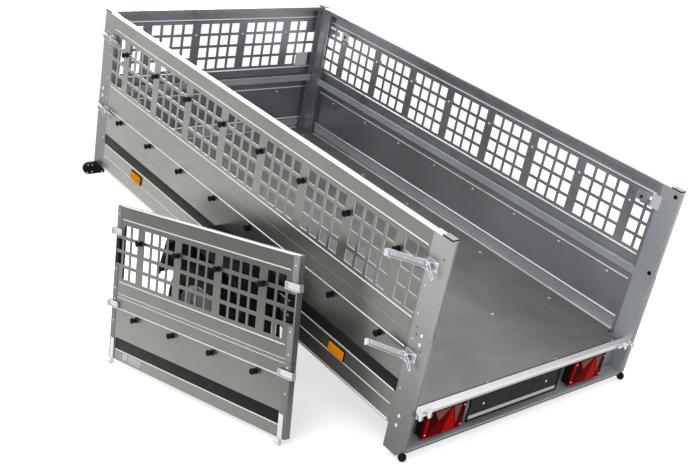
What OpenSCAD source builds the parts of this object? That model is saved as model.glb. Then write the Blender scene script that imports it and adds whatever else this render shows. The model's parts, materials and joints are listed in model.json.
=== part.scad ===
// Single-axle box trailer of folded, zinc-coated sheet steel with punched extension boards.
// The box is tipped back about the drawbar's hinge until its tail feet meet the floor, the
// drawbar stands on its jockey wheel, and the tailgate is lifted off and leant on the left
// mudguard. +Y is the way it travels and +Z is up.

/* [Box] */
// Length over the corner posts
box_length = 2450; // [2100:10:2900]
// Width over the corner posts
box_width = 1310; // [1100:10:1500]
// Height of the top of the corner posts, under their caps
post_height = 866; // [780:2:1000]
// Reach of the corner posts below the level that heights are counted from
post_low = 22; // [10:1:30]
// Width of a corner post, seen from the side
post_side = 92; // [70:1:110]
// Thickness of a corner post, seen from behind
post_thick = 30; // [24:1:40]
// Wall of a corner post
post_wall = 2; // [1.5:0.5:4]
// Height at which the lower boards end and the mesh boards start
split_z = 461; // [420:1:500]
// Height of the lower edge of the side boards
board_bottom = 80; // [60:1:95]
// Height of the upper edge of the mesh boards
board_top = 866; // [780:2:1000]
// Depth of the folded edges of every board
fold_depth = 26; // [20:1:28]
// Thickness of the sheet of the boards
sheet = 3; // [2:0.5:4]
// Radius of a pressed stiffening bead
bead_r = 3; // [2:0.5:4]

/* [Floor] */
// Height of the top of the floor board
floor_top = 154; // [150:2:220]
// Thickness of the floor board
floor_thick = 12; // [9:1:18]
// Height of the cross members
cross_height = 50; // [40:1:60]
// Width of the cross members
cross_width = 40; // [30:1:60]
// Height of the two long rails under the cross members
rail_height = 40; // [30:1:50]
// Distance of each long rail from the middle
rail_offset = 400; // [250:5:450]

/* [Mesh] */
// Distance between neighbouring ribs of a mesh board
rib_pitch = 283; // [270:1:300]
// Width of a punched hole
hole_width = 47; // [40:1:50]
// Height of a punched hole
hole_height = 49; // [40:1:52]
// Width of the bar between two holes
hole_bar = 15; // [8:1:16]
// Height of the lowest row of holes over the split
hole_start = 79; // [70:1:90]

/* [Tie-down knobs] */
// Radius of the neck that a cord is hooked on
knob_neck_r = 6; // [4:0.5:8]
// Radius of the head
knob_head_r = 12; // [10:0.5:14]
// Length of the neck
knob_neck = 12; // [8:1:18]
// Height of the lower row of knobs
knob_low_z = 380; // [340:1:390]
// Height of the upper row of knobs
knob_high_z = 722; // [715:1:730]

/* [Running gear] */
// Outer radius of the tyres
tyre_r = 280; // [260:1:300]
// Width of the tyres
tyre_width = 148; // [135:1:165]
// Gap between a tyre and the side board
tyre_gap = 34; // [28:1:60]
// Radius of the rims
rim_r = 165; // [150:1:180]
// Distance of the axle behind the middle of the box
axle_back = 130; // [0:5:250]
// Height of the wheel centres over the feet of the posts, with the box level
axle_z = -66; // [-90:1:-20]
// Length of the trailing arms
arm_length = 140; // [110:1:160]
// Rise of the axle beam over the wheel centres
arm_rise = 52; // [40:1:80]
// Side of the square axle beam
beam_size = 60; // [50:1:70]
// Gap between a tyre and its mudguard
guard_gap = 66; // [50:1:90]
// Thickness of the mudguards
guard_thick = 4; // [2:0.5:6]

/* [Drawbar] */
// Side of the square drawbar tube
drawbar_size = 60; // [50:1:70]
// Wall of the drawbar tube
drawbar_wall = 4; // [3:0.5:6]
// Distance of the drawbar's hinge before the middle of the box
hinge_y = 330; // [200:5:500]
// Height of the drawbar's hinge over the feet of the posts
hinge_z = 44; // [36:1:60]
// Radius of the hinge bolt
hinge_bolt_r = 8; // [6:0.5:10]
// Distance from the hinge to the middle of the towing ball
drawbar_reach = 1800; // [1700:10:2200]
// Height of the middle of the towing ball over the floor, with the jack run out
ball_height = 500; // [400:5:520]
// Radius of the ball socket
socket_r = 25.2; // [25:0.1:26]

/* [Jockey wheel] */
// Distance of the jockey wheel before the hinge
jockey_y = 1250; // [1100:10:1300]
// Radius of the outer tube
jockey_tube_r = 24; // [20:0.5:30]
// Length of the outer tube
jockey_tube = 380; // [320:5:420]
// Height of the lower end of the outer tube under the middle of the drawbar
jockey_tube_low = 45; // [35:1:60]
// Length of the stem inside the outer tube with the jack run out
stem_grip = 150; // [120:5:160]
// Radius of the wheel
jockey_r = 100; // [80:1:110]
// Width of the wheel
jockey_width = 50; // [35:1:60]
// Trail of the wheel behind its swivel
jockey_trail = 28; // [15:1:40]

/* [Tailgate] */
// Height of the lower edge of the closed tailgate over the feet of the posts
gate_low = 166; // [155:1:180]
// Distance between the tailgate and each rear post when it is closed
gate_gap = 4; // [2:1:8]
// Lean of the tailgate from upright, in degrees
gate_lean = 7.4; // [4:0.2:12]
// Turn of the tailgate from the travelling direction, in degrees
gate_yaw = 3.7; // [0:0.1:8]
// Place of the middle of the tailgate's lower edge behind the middle of the box
gate_back = 174; // [100:2:350]

/* [Hidden] */
$fn = 48;

half_l = box_length / 2;
half_w = box_width / 2;
LEFT = -1;
RIGHT = 1;

// Boards between the posts
side_len = box_length - 2 * post_side;
end_len = box_width - 2 * post_thick;
skin_out = 1;
skin_x = half_w - skin_out;

// Gap between pieces that lie against each other, and the overshoot of a cut past a face
touch = 0.3;
cut = 1;

// Round feet on the chamfered lower corners of the rear posts
foot_r = 17;
foot_lift = 4;
chamfer = 22;

// Where the tipped box stands: tail feet and both wheels meet the floor together
foot_y = -half_l;
foot_z = foot_lift - post_low;
axle_y = -axle_back;
tip_reach = norm([axle_y - foot_y, axle_z - foot_z]);
bed_tilt = asin((tyre_r - foot_r) / tip_reach) - atan2(axle_z - foot_z, axle_y - foot_y);
bed_rise = tyre_r - axle_y * sin(bed_tilt) - axle_z * cos(bed_tilt);

// Drawbar: hinge height over the floor and the slope down to the ball
hinge_h = bed_rise + hinge_y * sin(bed_tilt) + hinge_z * cos(bed_tilt);
ball_drop = 34;
droop = asin((hinge_h - ball_height - ball_drop) / drawbar_reach);
coupling_over = 45;
drawbar_front = drawbar_reach + coupling_over;

// Wheels and mudguards
tyre_out_x = half_w + tyre_gap + tyre_width;
tyre_mid_x = tyre_out_x - tyre_width / 2;
guard_r = tyre_r + guard_gap;
guard_over = 8;
guard_out_x = tyre_out_x + guard_over;
guard_in_x = half_w - skin_out + bead_r + touch;
guard_shape = [[0.957, 0.243], [0.884, 0.561], [0.786, 0.853], [0.549, 1.04], [-0.549, 1.04],
    [-0.867, 0.78], [-0.997, 0.231]];

// Jockey wheel in the drawbar's own frame
jockey_aside = 12;
jockey_x = drawbar_size / 2 + jockey_aside + jockey_tube_r;
jockey_wheel_y = jockey_y - jockey_trail;
jockey_wheel_z = (jockey_r - hinge_h + jockey_wheel_y * sin(droop)) / cos(droop);
jockey_wall = 3;
stem_r = jockey_tube_r - jockey_wall;
fork_rise = 26;
fork_top = jockey_wheel_z + jockey_r + fork_rise;
jockey_tube_bottom = -jockey_tube_low;

// Tailgate, in its own frame: width along +X, outer face at y = 0, lower edge at z = 0
gate_width = end_len - 2 * gate_gap;
gate_low_height = split_z - gate_low;
gate_height = board_top - gate_low;
hook_drop = 25;
gate_mesh_z = gate_low_height + touch;

// Where the leant tailgate meets the left mudguard: its sheet at a corner of the mudguard, or
// the lips of its two boards at the mudguard's rear edge, whichever comes first
fold_lip = 18;
guard_turn = [[cos(bed_tilt), -sin(bed_tilt)], [sin(bed_tilt), cos(bed_tilt)]];
guard_mid_y = axle_y * cos(bed_tilt) - axle_z * sin(bed_tilt);
guard_world = [for (p = guard_shape) guard_turn * p * guard_r + [guard_mid_y, tyre_r]];
lip_zs = [gate_low_height - fold_lip, gate_low_height + fold_lip];
lip_hs = [for (z = lip_zs) (z + hook_drop) * cos(gate_lean) - fold_depth * sin(gate_lean)];
lip_points = [for (i = [0:len(guard_world) - 2], h = lip_hs)
    if ((guard_world[i][1] - h) * (guard_world[i + 1][1] - h) < 0)
        [guard_world[i][0] + (guard_world[i + 1][0] - guard_world[i][0])
            * (h - guard_world[i][1]) / (guard_world[i + 1][1] - guard_world[i][1]), h]];

function seat(p, depth) = -guard_out_x + (p[0] + gate_back) * tan(gate_yaw)
    - (p[1] * tan(gate_lean) + depth / cos(gate_lean) + touch) / cos(gate_yaw);

gate_x = min(min([for (p = guard_world) seat(p, sheet)]),
    min([for (p = lip_points) seat(p, fold_depth)]));

// Whole object: the middle of its box on the floor
coupling_nose = 38;
front_y = hinge_y * cos(bed_tilt) - hinge_z * sin(bed_tilt) + drawbar_reach * cos(droop)
    - ball_drop * sin(droop) + coupling_nose;
tail_y = -half_l * cos(bed_tilt) - board_top * sin(bed_tilt);
gate_half = gate_width / 2;
gate_toe = 30;
low_x = gate_x - gate_half * sin(gate_yaw) - gate_toe;
shift_x = -(guard_out_x + low_x) / 2;
shift_y = -(front_y + tail_y) / 2;

module in_frame() {
    translate([shift_x, shift_y, 0]) children();
}

module in_box() {
    in_frame() translate([0, 0, bed_rise]) rotate([bed_tilt, 0, 0]) children();
}

module in_drawbar() {
    in_box() translate([0, hinge_y, hinge_z]) rotate([-bed_tilt - droop, 0, 0]) children();
}

module in_gate() {
    in_frame() translate([gate_x, -gate_back, 0]) rotate([0, 0, gate_yaw - 90])
        rotate([-gate_lean, 0, 0]) translate([0, 0, hook_drop]) children();
}

// Mirrors what is drawn for the left side, at negative X, over to the right
module sided(side) {
    mirror([side > 0 ? 1 : 0, 0, 0]) children();
}

// Bar of rectangular section between two corners
module block(low, high) {
    translate(low) cube(high - low);
}

// Boards are drawn flat: X along the board from its middle, Y outwards with the outer skin at
// y = 0, Z up, and folded edges that reach back to y = -fold_depth
module fold_ring(length, low, high, edge) {
    difference() {
        block([-length / 2, -fold_depth, low], [length / 2, 0, high]);
        block([-length / 2 + sheet, -fold_depth + sheet, low + sheet],
            [length / 2 - sheet, -sheet, high - sheet]);
        block([-length / 2 + edge, -fold_depth - cut, low + edge],
            [length / 2 - edge, -sheet, high - edge]);
    }
}

module bead(length, z) {
    intersection() {
        translate([0, 0, z]) rotate([0, 90, 0]) cylinder(r = bead_r, h = length, center = true);
        block([-length / 2, -sheet / 2, z - bead_r], [length / 2, bead_r, z + bead_r]);
    }
}

bead_inset = 14;
stile_width = 44;
edge_r = 8;

module plain_board(length, low, high, bead_heights, inset) {
    fold_ring(length, low, high, fold_lip);
    for (z = bead_heights) {
        bead(length - 2 * inset, z);
    }
}

hole_pitch_x = hole_width + hole_bar;
hole_pitch_z = hole_height + hole_bar;
group_width = 4 * hole_width + 3 * hole_bar;

module hole(x, z) {
    translate([x, z]) square([hole_width, hole_height]);
}

module group(middle, z) {
    for (col = [0:3], row = [0:3]) {
        hole(middle - group_width / 2 + col * hole_pitch_x, z + row * hole_pitch_z);
    }
}

// Whole groups that a board of this length takes besides two columns at each end
end_columns = 2 * hole_width + hole_bar;
function groups_in(length) = floor((length - rib_pitch + group_width - 2 * end_columns) / rib_pitch);

// Outermost group: two full columns and, where the board is long enough, a third with its two
// middle holes only
module end_group(start, z, limit) {
    for (col = [0:1], row = [0:3]) {
        hole(start + col * hole_pitch_x, z + row * hole_pitch_z);
    }
    if (start + 2 * hole_pitch_x + hole_width < limit) {
        for (row = [1:2]) {
            hole(start + 2 * hole_pitch_x, z + row * hole_pitch_z);
        }
    }
}

module hole_pattern(length, z) {
    groups = groups_in(length);
    for (i = [0:groups - 1]) {
        group((i - (groups - 1) / 2) * rib_pitch, z);
    }
    end_start = groups / 2 * rib_pitch + (rib_pitch - group_width) / 2;
    end_group(end_start, z, length / 2);
    mirror([1, 0]) end_group(end_start, z, length / 2);
}

module mesh_board(length, low, high, bead_heights, inset) {
    difference() {
        union() {
            fold_ring(length, low, high, fold_lip);
            for (z = bead_heights) {
                bead(length - 2 * inset, z);
            }
        }
        translate([0, sheet, 0]) rotate([90, 0, 0]) linear_extrude(3 * sheet)
            hole_pattern(length, low + hole_start);
        block([-length / 2 - cut, -edge_r, high - edge_r], [length / 2 + cut, cut, high + cut]);
    }
    intersection() {
        translate([0, -edge_r, high - edge_r]) rotate([0, 90, 0])
            cylinder(r = edge_r, h = length, center = true);
        block([-length / 2, -edge_r, high - edge_r], [length / 2, 0, high]);
    }
}

seam = 0.3;
mesh_low = split_z + seam;
low_beads = [board_bottom + 72, board_bottom + 133, split_z - 61];
mesh_beads = [split_z + 59, board_top - 63];

module at_side(side) {
    in_box() sided(side) translate([-skin_x, 0, 0]) rotate([0, 0, 90]) children();
}

module at_front() {
    in_box() translate([0, half_l - skin_out, 0]) children();
}

module side_board(side) {
    color("silver") at_side(side)
        plain_board(side_len, board_bottom, split_z, low_beads, bead_inset);
}

module mesh_side(side) {
    color("silver") at_side(side)
        mesh_board(side_len, mesh_low, board_top, mesh_beads, bead_inset);
}

module front_board() {
    color("silver") at_front()
        plain_board(end_len, board_bottom, split_z, low_beads, bead_inset);
}

module mesh_front() {
    color("silver") at_front()
        mesh_board(end_len, mesh_low, board_top, mesh_beads, bead_inset);
}

// One corner post: a closed tube, wider below the split than above it. The front ones end with
// the boards, and the rear ones reach lower and are cut off slanting for their feet
upper_inset = 2;
post_tier = split_z + 15;
module corner_post(side, end) {
    low = end > 0 ? board_bottom : -post_low;
    color("silver") in_box() sided(side) mirror([0, end > 0 ? 1 : 0, 0])
        translate([-half_w, -half_l, 0]) difference() {
            union() {
                block([0, 0, low], [post_thick, post_side, post_tier]);
                block([0, upper_inset, post_tier - cut], [post_thick, post_side, post_height]);
            }
            block([post_wall, post_wall + upper_inset, low + chamfer + post_wall],
                [post_thick - post_wall, post_side - post_wall, post_height + cut]);
            if (end < 0) {
                translate([-cut, 0, low + chamfer]) rotate([-45, 0, 0])
                    block([0, -2 * chamfer, -4 * chamfer], [post_thick + 2 * cut, 2 * chamfer, 0]);
            }
        }
}

module at_posts(ends) {
    for (sx = [0, 1], sy = ends) {
        in_box() mirror([sx, 0, 0]) mirror([0, sy, 0]) translate([-half_w, -half_l, 0]) children();
    }
}

cap_height = 8;
cap_depth = 12;
module post_caps() {
    color("dimgray") at_posts([0, 1]) {
        block([0, upper_inset, post_height], [post_thick, post_side, post_height + cap_height]);
        block([post_wall, post_wall + upper_inset, post_height - cap_depth],
            [post_thick - post_wall, post_side - post_wall, post_height + cut]);
    }
}

module post_feet() {
    color("black") at_posts([0]) difference() {
        translate([post_thick / 2, 0, foot_z]) sphere(r = foot_r);
        translate([-foot_r, 0, chamfer - post_low]) rotate([-45, 0, 0])
            block([0, -2 * chamfer, 0], [4 * foot_r, 3 * chamfer, 2 * chamfer]);
    }
}

// Floor
cross_top = floor_top - floor_thick;
cross_bottom = cross_top - cross_height;
rail_bottom = cross_bottom - rail_height;
cross_rear = 120;
cross_behind_axle = 420;
cross_before_axle = 130;
cross_front = 60;
cross_ys = [-half_l + cross_rear, axle_y - cross_behind_axle, axle_y + cross_before_axle, hinge_y,
    half_l - cross_front];
inner_half_w = half_w - skin_out - fold_depth;

module channel_x(length, depth, height) {
    difference() {
        block([-length / 2, -depth / 2, 0], [length / 2, depth / 2, height]);
        block([-length / 2 - cut, -depth / 2 + sheet, sheet],
            [length / 2 + cut, depth / 2 + cut, height - sheet]);
    }
}

cross_len = 2 * (inner_half_w - cut);
cross_len_front = 2 * (half_w - post_thick - touch);
module cross_members() {
    color("silver") in_box() for (y = cross_ys) {
        translate([0, y, cross_bottom])
            channel_x(y > half_l - post_side ? cross_len_front : cross_len, cross_width, cross_height);
    }
}

rail_half = 20;
rail_rear = 100;
rail_front = 40;
module long_rails() {
    color("silver") in_box() for (side = [LEFT, RIGHT]) {
        translate([side * rail_offset, 0, 0]) difference() {
            block([-rail_half, -half_l + rail_rear, rail_bottom],
                [rail_half, half_l - rail_front, cross_bottom]);
            block([-rail_half + sheet, -half_l + rail_rear - cut, rail_bottom + sheet],
                [rail_half - sheet, half_l - rail_front + cut, cross_bottom - sheet]);
        }
    }
}

// The board reaches the sheets of the sides and the front, is notched round the corner posts
// and is rebated along its edges, where the flat legs of the angle strips lie flush with its top
angle_height = 12;
angle_width = 12;
angle_thick = 2;
floor_gap = 2;
wall_x = skin_x - sheet;
wall_y = half_l - skin_out - sheet;
floor_half_w = wall_x - floor_gap;
floor_front_y = wall_y - floor_gap;
notch_x = end_len / 2 - fold_lip - floor_gap;
notch_y = side_len / 2 - fold_lip - floor_gap;
angle_in_x = wall_x - angle_width;
angle_in_y = wall_y - angle_width;
module floor_board() {
    rebate = floor_top - angle_thick - touch;
    color([0.35, 0.34, 0.33]) in_box() difference() {
        block([-floor_half_w, sill_y + sill_depth + seam, cross_top],
            [floor_half_w, floor_front_y, floor_top]);
        for (side = [LEFT, RIGHT]) {
            sided(side) {
                block([-floor_half_w - cut, -half_l, rebate],
                    [-angle_in_x + touch, half_l, floor_top + cut]);
                block([-floor_half_w - cut, -half_l, cross_top - cut],
                    [-notch_x, -notch_y, floor_top + cut]);
                block([-floor_half_w - cut, notch_y, cross_top - cut],
                    [-notch_x, half_l, floor_top + cut]);
            }
        }
        block([-floor_half_w - cut, angle_in_y - touch, rebate],
            [floor_half_w + cut, half_l, floor_top + cut]);
    }
}

// Screwed angle strips along both sides and the front
module floor_angles() {
    strip_low = floor_top - angle_thick;
    out_x = wall_x - touch;
    out_y = wall_y - touch;
    side_end = notch_y - touch;
    color("gainsboro") in_box() {
        for (side = [LEFT, RIGHT]) {
            sided(side) {
                block([-out_x, -side_end, strip_low],
                    [-angle_in_x, side_end, floor_top]);
                block([-out_x, -side_end, strip_low],
                    [-out_x + angle_thick, side_end, floor_top + angle_height]);
            }
        }
        block([-notch_x, angle_in_y, strip_low], [notch_x, out_y, floor_top]);
        block([-notch_x, out_y - angle_thick, strip_low],
            [notch_x, out_y, floor_top + angle_height]);
    }
}

// Tie-down knobs: a washer, a neck and a domed head, drawn outwards along +Z
washer_r = 10;
washer_h = 3;
head_h = 8;
head_under = 1;
head_edge = 3;
head_round = 4;
module knob() {
    neck_top = washer_h + knob_neck;
    rotate_extrude() polygon([[0, 0], [washer_r, 0], [washer_r, washer_h], [knob_neck_r, washer_h],
        [knob_neck_r, neck_top], [knob_head_r, neck_top + head_under],
        [knob_head_r, neck_top + head_h - head_edge],
        [knob_head_r - head_round, neck_top + head_h], [0, neck_top + head_h]]);
}

// One knob on every rib between two groups of holes
function knob_xs(length) = [for (i = [0:groups_in(length)]) (i - groups_in(length) / 2) * rib_pitch];
side_knob_xs = knob_xs(side_len);
end_knob_xs = knob_xs(end_len);

module knob_rows(xs, low_z, high_z) {
    for (x = xs, z = [low_z, high_z]) {
        translate([x, 0, z]) rotate([-90, 0, 0]) knob();
    }
}

module tie_knobs() {
    color("black") {
        for (side = [LEFT, RIGHT]) {
            at_side(side) knob_rows(side_knob_xs, knob_low_z, knob_high_z);
        }
        at_front() knob_rows(end_knob_xs, knob_low_z, knob_high_z);
    }
}

// Rear end: rounded sill, brackets, pins for the tailgate's hooks and the bar with the lamps
sill_back = 4;
sill_depth = 34;
sill_low = 146;
sill_top = floor_top + 8;
sill_r = 7;
sill_wall = 4;
sill_cover = 6;
sill_y = -half_l + sill_back;
module rear_sill() {
    color("gainsboro") in_box() difference() {
        union() {
            block([-end_len / 2 + seam, sill_y, sill_low],
                [end_len / 2 - seam, sill_y + sill_depth, sill_top - sill_r]);
            block([-end_len / 2 + seam, sill_y + sill_r, sill_top - sill_r - cut],
                [end_len / 2 - seam, sill_y + sill_depth, sill_top]);
            translate([0, sill_y + sill_r, sill_top - sill_r]) rotate([0, 90, 0])
                cylinder(r = sill_r, h = end_len - 2 * seam, center = true);
        }
        block([-end_len / 2, sill_y + sill_wall, sill_low - cut],
            [end_len / 2, sill_y + sill_depth - sill_wall, sill_top - sill_cover]);
    }
}

bracket_length = 82;
bracket_low = 148;
bracket_high = 172;
bracket_out = 4;
bracket_inset = 2;
module sill_brackets() {
    color("gainsboro") in_box() for (side = [LEFT, RIGHT]) {
        sided(side) block([-end_len / 2 + bracket_inset, -half_l - bracket_out, bracket_low],
            [-end_len / 2 + bracket_length, sill_y - seam, bracket_high]);
    }
}

pin_r = 5;
pin_head_r = 9;
pin_head_h = 5;
pin_length = 14;
pin_xs = [10, 54];
pin_z = 158;
module gate_pins() {
    color("silver") in_box() for (side = [LEFT, RIGHT], dx = pin_xs) {
        sided(side) translate([-end_len / 2 + dx, -half_l - bracket_out, pin_z])
            rotate([90, 0, 0]) {
                cylinder(r = pin_r, h = pin_length);
                translate([0, 0, pin_length]) cylinder(r = pin_head_r, h = pin_head_h);
            }
    }
}

bar_low = -8;
bar_top = 4;
bar_high = cross_top - touch;
bar_depth = 60;
bar_back = 2;
module light_bar() {
    color("silver") in_box() {
        block([-end_len / 2 + seam, -half_l + bar_back, bar_low],
            [end_len / 2 - seam, -half_l + bar_depth, bar_top]);
        block([-end_len / 2 + seam, -half_l + bar_depth - sheet, bar_low],
            [end_len / 2 - seam, -half_l + bar_depth, bar_high]);
    }
}

lamp_width = 205;
lamp_height = 120;
lamp_back = 10;
lamp_low = 16;
lamp_left_x = -end_len / 2 + 185;
lamp_right_x = end_len / 2 - 233;
module tail_lamp(x) {
    color("firebrick") in_box()
        block([x - lamp_width / 2, -half_l + lamp_back, lamp_low],
            [x + lamp_width / 2, -half_l + bar_depth - sheet - seam, lamp_low + lamp_height]);
}

plate_x = -70;
plate_width = 520;
plate_height = 110;
plate_back = 4;
plate_thick = 6;
module number_plate_board() {
    color([0.1, 0.1, 0.1]) in_box()
        block([plate_x - plate_width / 2, -half_l + plate_back, sill_low - seam - plate_height],
            [plate_x + plate_width / 2, -half_l + plate_back + plate_thick, sill_low - seam]);
}

reflector_y = 795;
reflector_z = 180;
reflector_length = 97;
reflector_height = 44;
reflector_thick = 9;
module side_reflectors() {
    color("darkorange") for (side = [LEFT, RIGHT]) {
        at_side(side) for (x = [-reflector_y, reflector_y]) {
            block([x - reflector_length / 2, 0, reflector_z - reflector_height / 2],
                [x + reflector_length / 2, reflector_thick, reflector_z + reflector_height / 2]);
        }
    }
}

// Front position lamps under the front posts: a plate with a round outer end and a lens
front_lamp_out = 62;
front_lamp_in = 55;
front_lamp_height = 64;
front_lamp_thick = 20;
front_lens = 16;
front_lens_rim = 3;
module position_lamps() {
    lamp_r = front_lamp_height / 2;
    color("black") in_box() for (side = [LEFT, RIGHT]) {
        sided(side) translate([-half_w, half_l, board_bottom - seam - lamp_r]) {
            block([-front_lamp_out + lamp_r, -front_lamp_thick, -lamp_r],
                [front_lamp_in, 0, lamp_r]);
            translate([-front_lamp_out + lamp_r, 0, 0]) rotate([90, 0, 0])
                cylinder(r = lamp_r, h = front_lamp_thick);
            translate([-front_lamp_out + lamp_r, front_lens, 0]) rotate([90, 0, 0])
                cylinder(r = lamp_r - front_lens_rim, h = front_lens + cut);
        }
    }
}

// Over-centre latches on the rear posts, thrown open, and closed ones round the front posts
latch_zs = [split_z - 71, board_top - 114];
latch_half = 13;
latch_slope = 10;
latch_swing = 14;
latch_base_half = 20;
latch_base_out = 3;
latch_base_ys = [34, 88];
latch_pivot_ys = [60, 84];
latch_pivot_out = 20;
lever_at = [-14, 74, 0];
lever_low = [-8, 0, -latch_half];
lever_high = [3, 158, latch_half];
latch_skin = 0.2;
module rear_latches() {
    color("lightgray") in_box() for (side = [LEFT, RIGHT], z = latch_zs) {
        sided(side) translate([-half_w, -half_l, z]) {
            block([-latch_base_out, latch_base_ys[0], -latch_base_half],
                [-latch_skin, latch_base_ys[1], latch_base_half]);
            block([-latch_pivot_out, latch_pivot_ys[0], -latch_half],
                [-latch_skin, latch_pivot_ys[1], latch_half]);
            translate(lever_at) rotate([-latch_slope, 0, 0]) rotate([0, 0, latch_swing])
                block(lever_low, lever_high);
        }
    }
}

closed_base_y = 4;
closed_wrap = 3.5;
closed_lever_xs = [-18, -8];
closed_lever_ys = [90, 6];
closed_pivot_ys = [10, 34];
module front_latches() {
    color("lightgray") in_box() for (side = [LEFT, RIGHT], z = latch_zs) {
        sided(side) translate([-half_w, half_l, z]) {
            block([-latch_base_out, -post_side + closed_base_y, -latch_base_half],
                [-latch_skin, closed_wrap, latch_base_half]);
            block([-latch_base_out, latch_skin, -latch_half], [post_thick, closed_wrap, latch_half]);
            block([closed_lever_xs[0], -post_side - closed_lever_ys[0], -latch_half],
                [closed_lever_xs[1], -closed_lever_ys[1], latch_half]);
            block([closed_lever_xs[0], -post_side + closed_pivot_ys[0], -latch_half],
                [-latch_skin, -post_side + closed_pivot_ys[1], latch_half]);
        }
    }
}

// Mudguards: a bent strip round the tyre with an inner flange against the side board
guard_lip = 46;
guard_rim = 22;
module guard_outline(reach) {
    polygon([for (p = guard_shape) p * reach]);
}

module guard_ring(outer, inner) {
    difference() {
        guard_outline(outer);
        guard_outline(inner);
        polygon([guard_shape[0] * inner, [guard_shape[0][0] * inner, 0],
            [guard_shape[6][0] * inner, 0], guard_shape[6] * inner]);
    }
}

module mudguard(side) {
    color([0.12, 0.12, 0.12]) in_box() sided(side) translate([-guard_in_x, axle_y, axle_z])
        rotate([90, 0, -90]) {
            linear_extrude(guard_out_x - guard_in_x) guard_ring(guard_r, guard_r - guard_thick);
            linear_extrude(guard_thick) guard_ring(guard_r, guard_r - guard_lip);
            translate([0, 0, guard_out_x - guard_in_x - guard_thick]) linear_extrude(guard_thick)
                guard_ring(guard_r, guard_r - guard_rim);
        }
}

// Axle: a square beam, a trailing arm at each end and the stub that the hub turns on
beam_y = axle_y + arm_length;
beam_z = axle_z + arm_rise;
arm_in = 40;
arm_x = half_w - arm_in;
arm_side = 22;
arm_thick = 24;
arm_root_r = 34;
arm_tip_r = 26;
arm_fn = 32;
stub_r = 17;
stub_short = 20;
stub_end = tyre_mid_x - stub_short;
module axle_beam() {
    color("gray") in_box() {
        block([-arm_x, beam_y - beam_size / 2, beam_z - beam_size / 2],
            [arm_x, beam_y + beam_size / 2, beam_z + beam_size / 2]);
        for (side = [LEFT, RIGHT]) {
            sided(side) {
                hull() {
                    translate([-arm_x - arm_side, beam_y, beam_z]) rotate([0, 90, 0])
                        cylinder(r = arm_root_r, h = arm_thick, $fn = arm_fn);
                    translate([-arm_x - arm_side, axle_y, axle_z]) rotate([0, 90, 0])
                        cylinder(r = arm_tip_r, h = arm_thick, $fn = arm_fn);
                }
                translate([-stub_end, axle_y, axle_z]) rotate([0, 90, 0])
                    cylinder(r = stub_r, h = stub_end - arm_x);
            }
        }
    }
}

mount_half = 24;
mount_over = 10;
module axle_mounts() {
    color("silver") in_box() for (side = [LEFT, RIGHT]) {
        block([side * rail_offset - mount_half, beam_y - beam_size / 2 - mount_over,
            beam_z + beam_size / 2], [side * rail_offset + mount_half,
            beam_y + beam_size / 2 + mount_over, rail_bottom]);
    }
}

// Drawbar hinge under its cross member and catch under the front one
ear_gap = 6;
ear_thick = 6;
ear_x = drawbar_size / 2 + ear_gap;
module ears(y, low, depth) {
    for (side = [LEFT, RIGHT]) {
        sided(side) block([-ear_x - ear_thick, y - depth / 2, low],
            [-ear_x, y + depth / 2, cross_bottom]);
    }
}

hinge_ear_low = 26;
hinge_ear_depth = 70;
bolt_over = 12;
module drawbar_hinge() {
    color("silver") in_box() {
        ears(hinge_y, hinge_z - hinge_ear_low, hinge_ear_depth);
        translate([0, hinge_y, hinge_z]) rotate([0, 90, 0])
            cylinder(r = hinge_bolt_r, h = 2 * (ear_x + ear_thick + bolt_over), center = true);
    }
}

catch_ear_depth = 60;
catch_pin_r = 11;
catch_pin_length = 34;
module drawbar_catch() {
    color("silver") in_box() {
        ears(half_l - cross_front, hinge_z - drawbar_size / 2, catch_ear_depth);
        translate([-ear_x - ear_thick - catch_pin_length, half_l - cross_front, hinge_z])
            rotate([0, 90, 0]) cylinder(r = catch_pin_r, h = catch_pin_length + cut);
    }
}

tube_start = -60;
tube_end = drawbar_reach - coupling_nose - touch;
bolt_fit = 0.05;
module drawbar_tube() {
    color("silver") in_drawbar() difference() {
        block([-drawbar_size / 2, tube_start, -drawbar_size / 2],
            [drawbar_size / 2, tube_end, drawbar_size / 2]);
        block([-drawbar_size / 2 + drawbar_wall, tube_start - cut, -drawbar_size / 2 + drawbar_wall],
            [drawbar_size / 2 - drawbar_wall, tube_end + cut, drawbar_size / 2 - drawbar_wall]);
        rotate([0, 90, 0]) cylinder(r = hinge_bolt_r + bolt_fit, h = 2 * drawbar_size, center = true);
    }
}

// Coupling: a plate bolted on the tube, a socket over the ball, a body between them and a handle
coupling_plate = [230, 55];
coupling_plate_over = 5;
coupling_plate_high = 6;
coupling_skirt = 6;
socket_outer_h = 76;
socket_depth = 40;
coupling_body_half = 26;
coupling_body_zs = [-10, 36];
coupling_body_over = 10;
handle_nose = [4, 34];
handle_nose_r = 14;
handle_nose_h = 22;
handle_grip = [-120, 62];
handle_grip_r = 12;
handle_grip_h = 12;
module coupling_head() {
    plate_low = drawbar_size / 2 + touch;
    color("dimgray") in_drawbar() difference() {
        union() {
            block([-drawbar_size / 2 - coupling_plate_over, drawbar_front - coupling_plate[0], plate_low],
                [drawbar_size / 2 + coupling_plate_over, drawbar_front - coupling_plate[1],
                    drawbar_size / 2 + coupling_plate_high]);
            translate([0, drawbar_reach, -ball_drop - coupling_skirt])
                cylinder(r = coupling_nose, h = socket_outer_h);
            block([-coupling_body_half, tube_end + touch, coupling_body_zs[0]],
                [coupling_body_half, drawbar_reach + coupling_body_over, coupling_body_zs[1]]);
            hull() {
                translate([0, drawbar_reach + handle_nose[0], handle_nose[1]])
                    cylinder(r = handle_nose_r, h = handle_nose_h, $fn = arm_fn);
                translate([0, drawbar_reach + handle_grip[0], handle_grip[1]])
                    cylinder(r = handle_grip_r, h = handle_grip_h, $fn = arm_fn);
            }
        }
        translate([0, drawbar_reach, -ball_drop - coupling_skirt - cut])
            cylinder(r = socket_r, h = socket_depth);
    }
}

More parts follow.
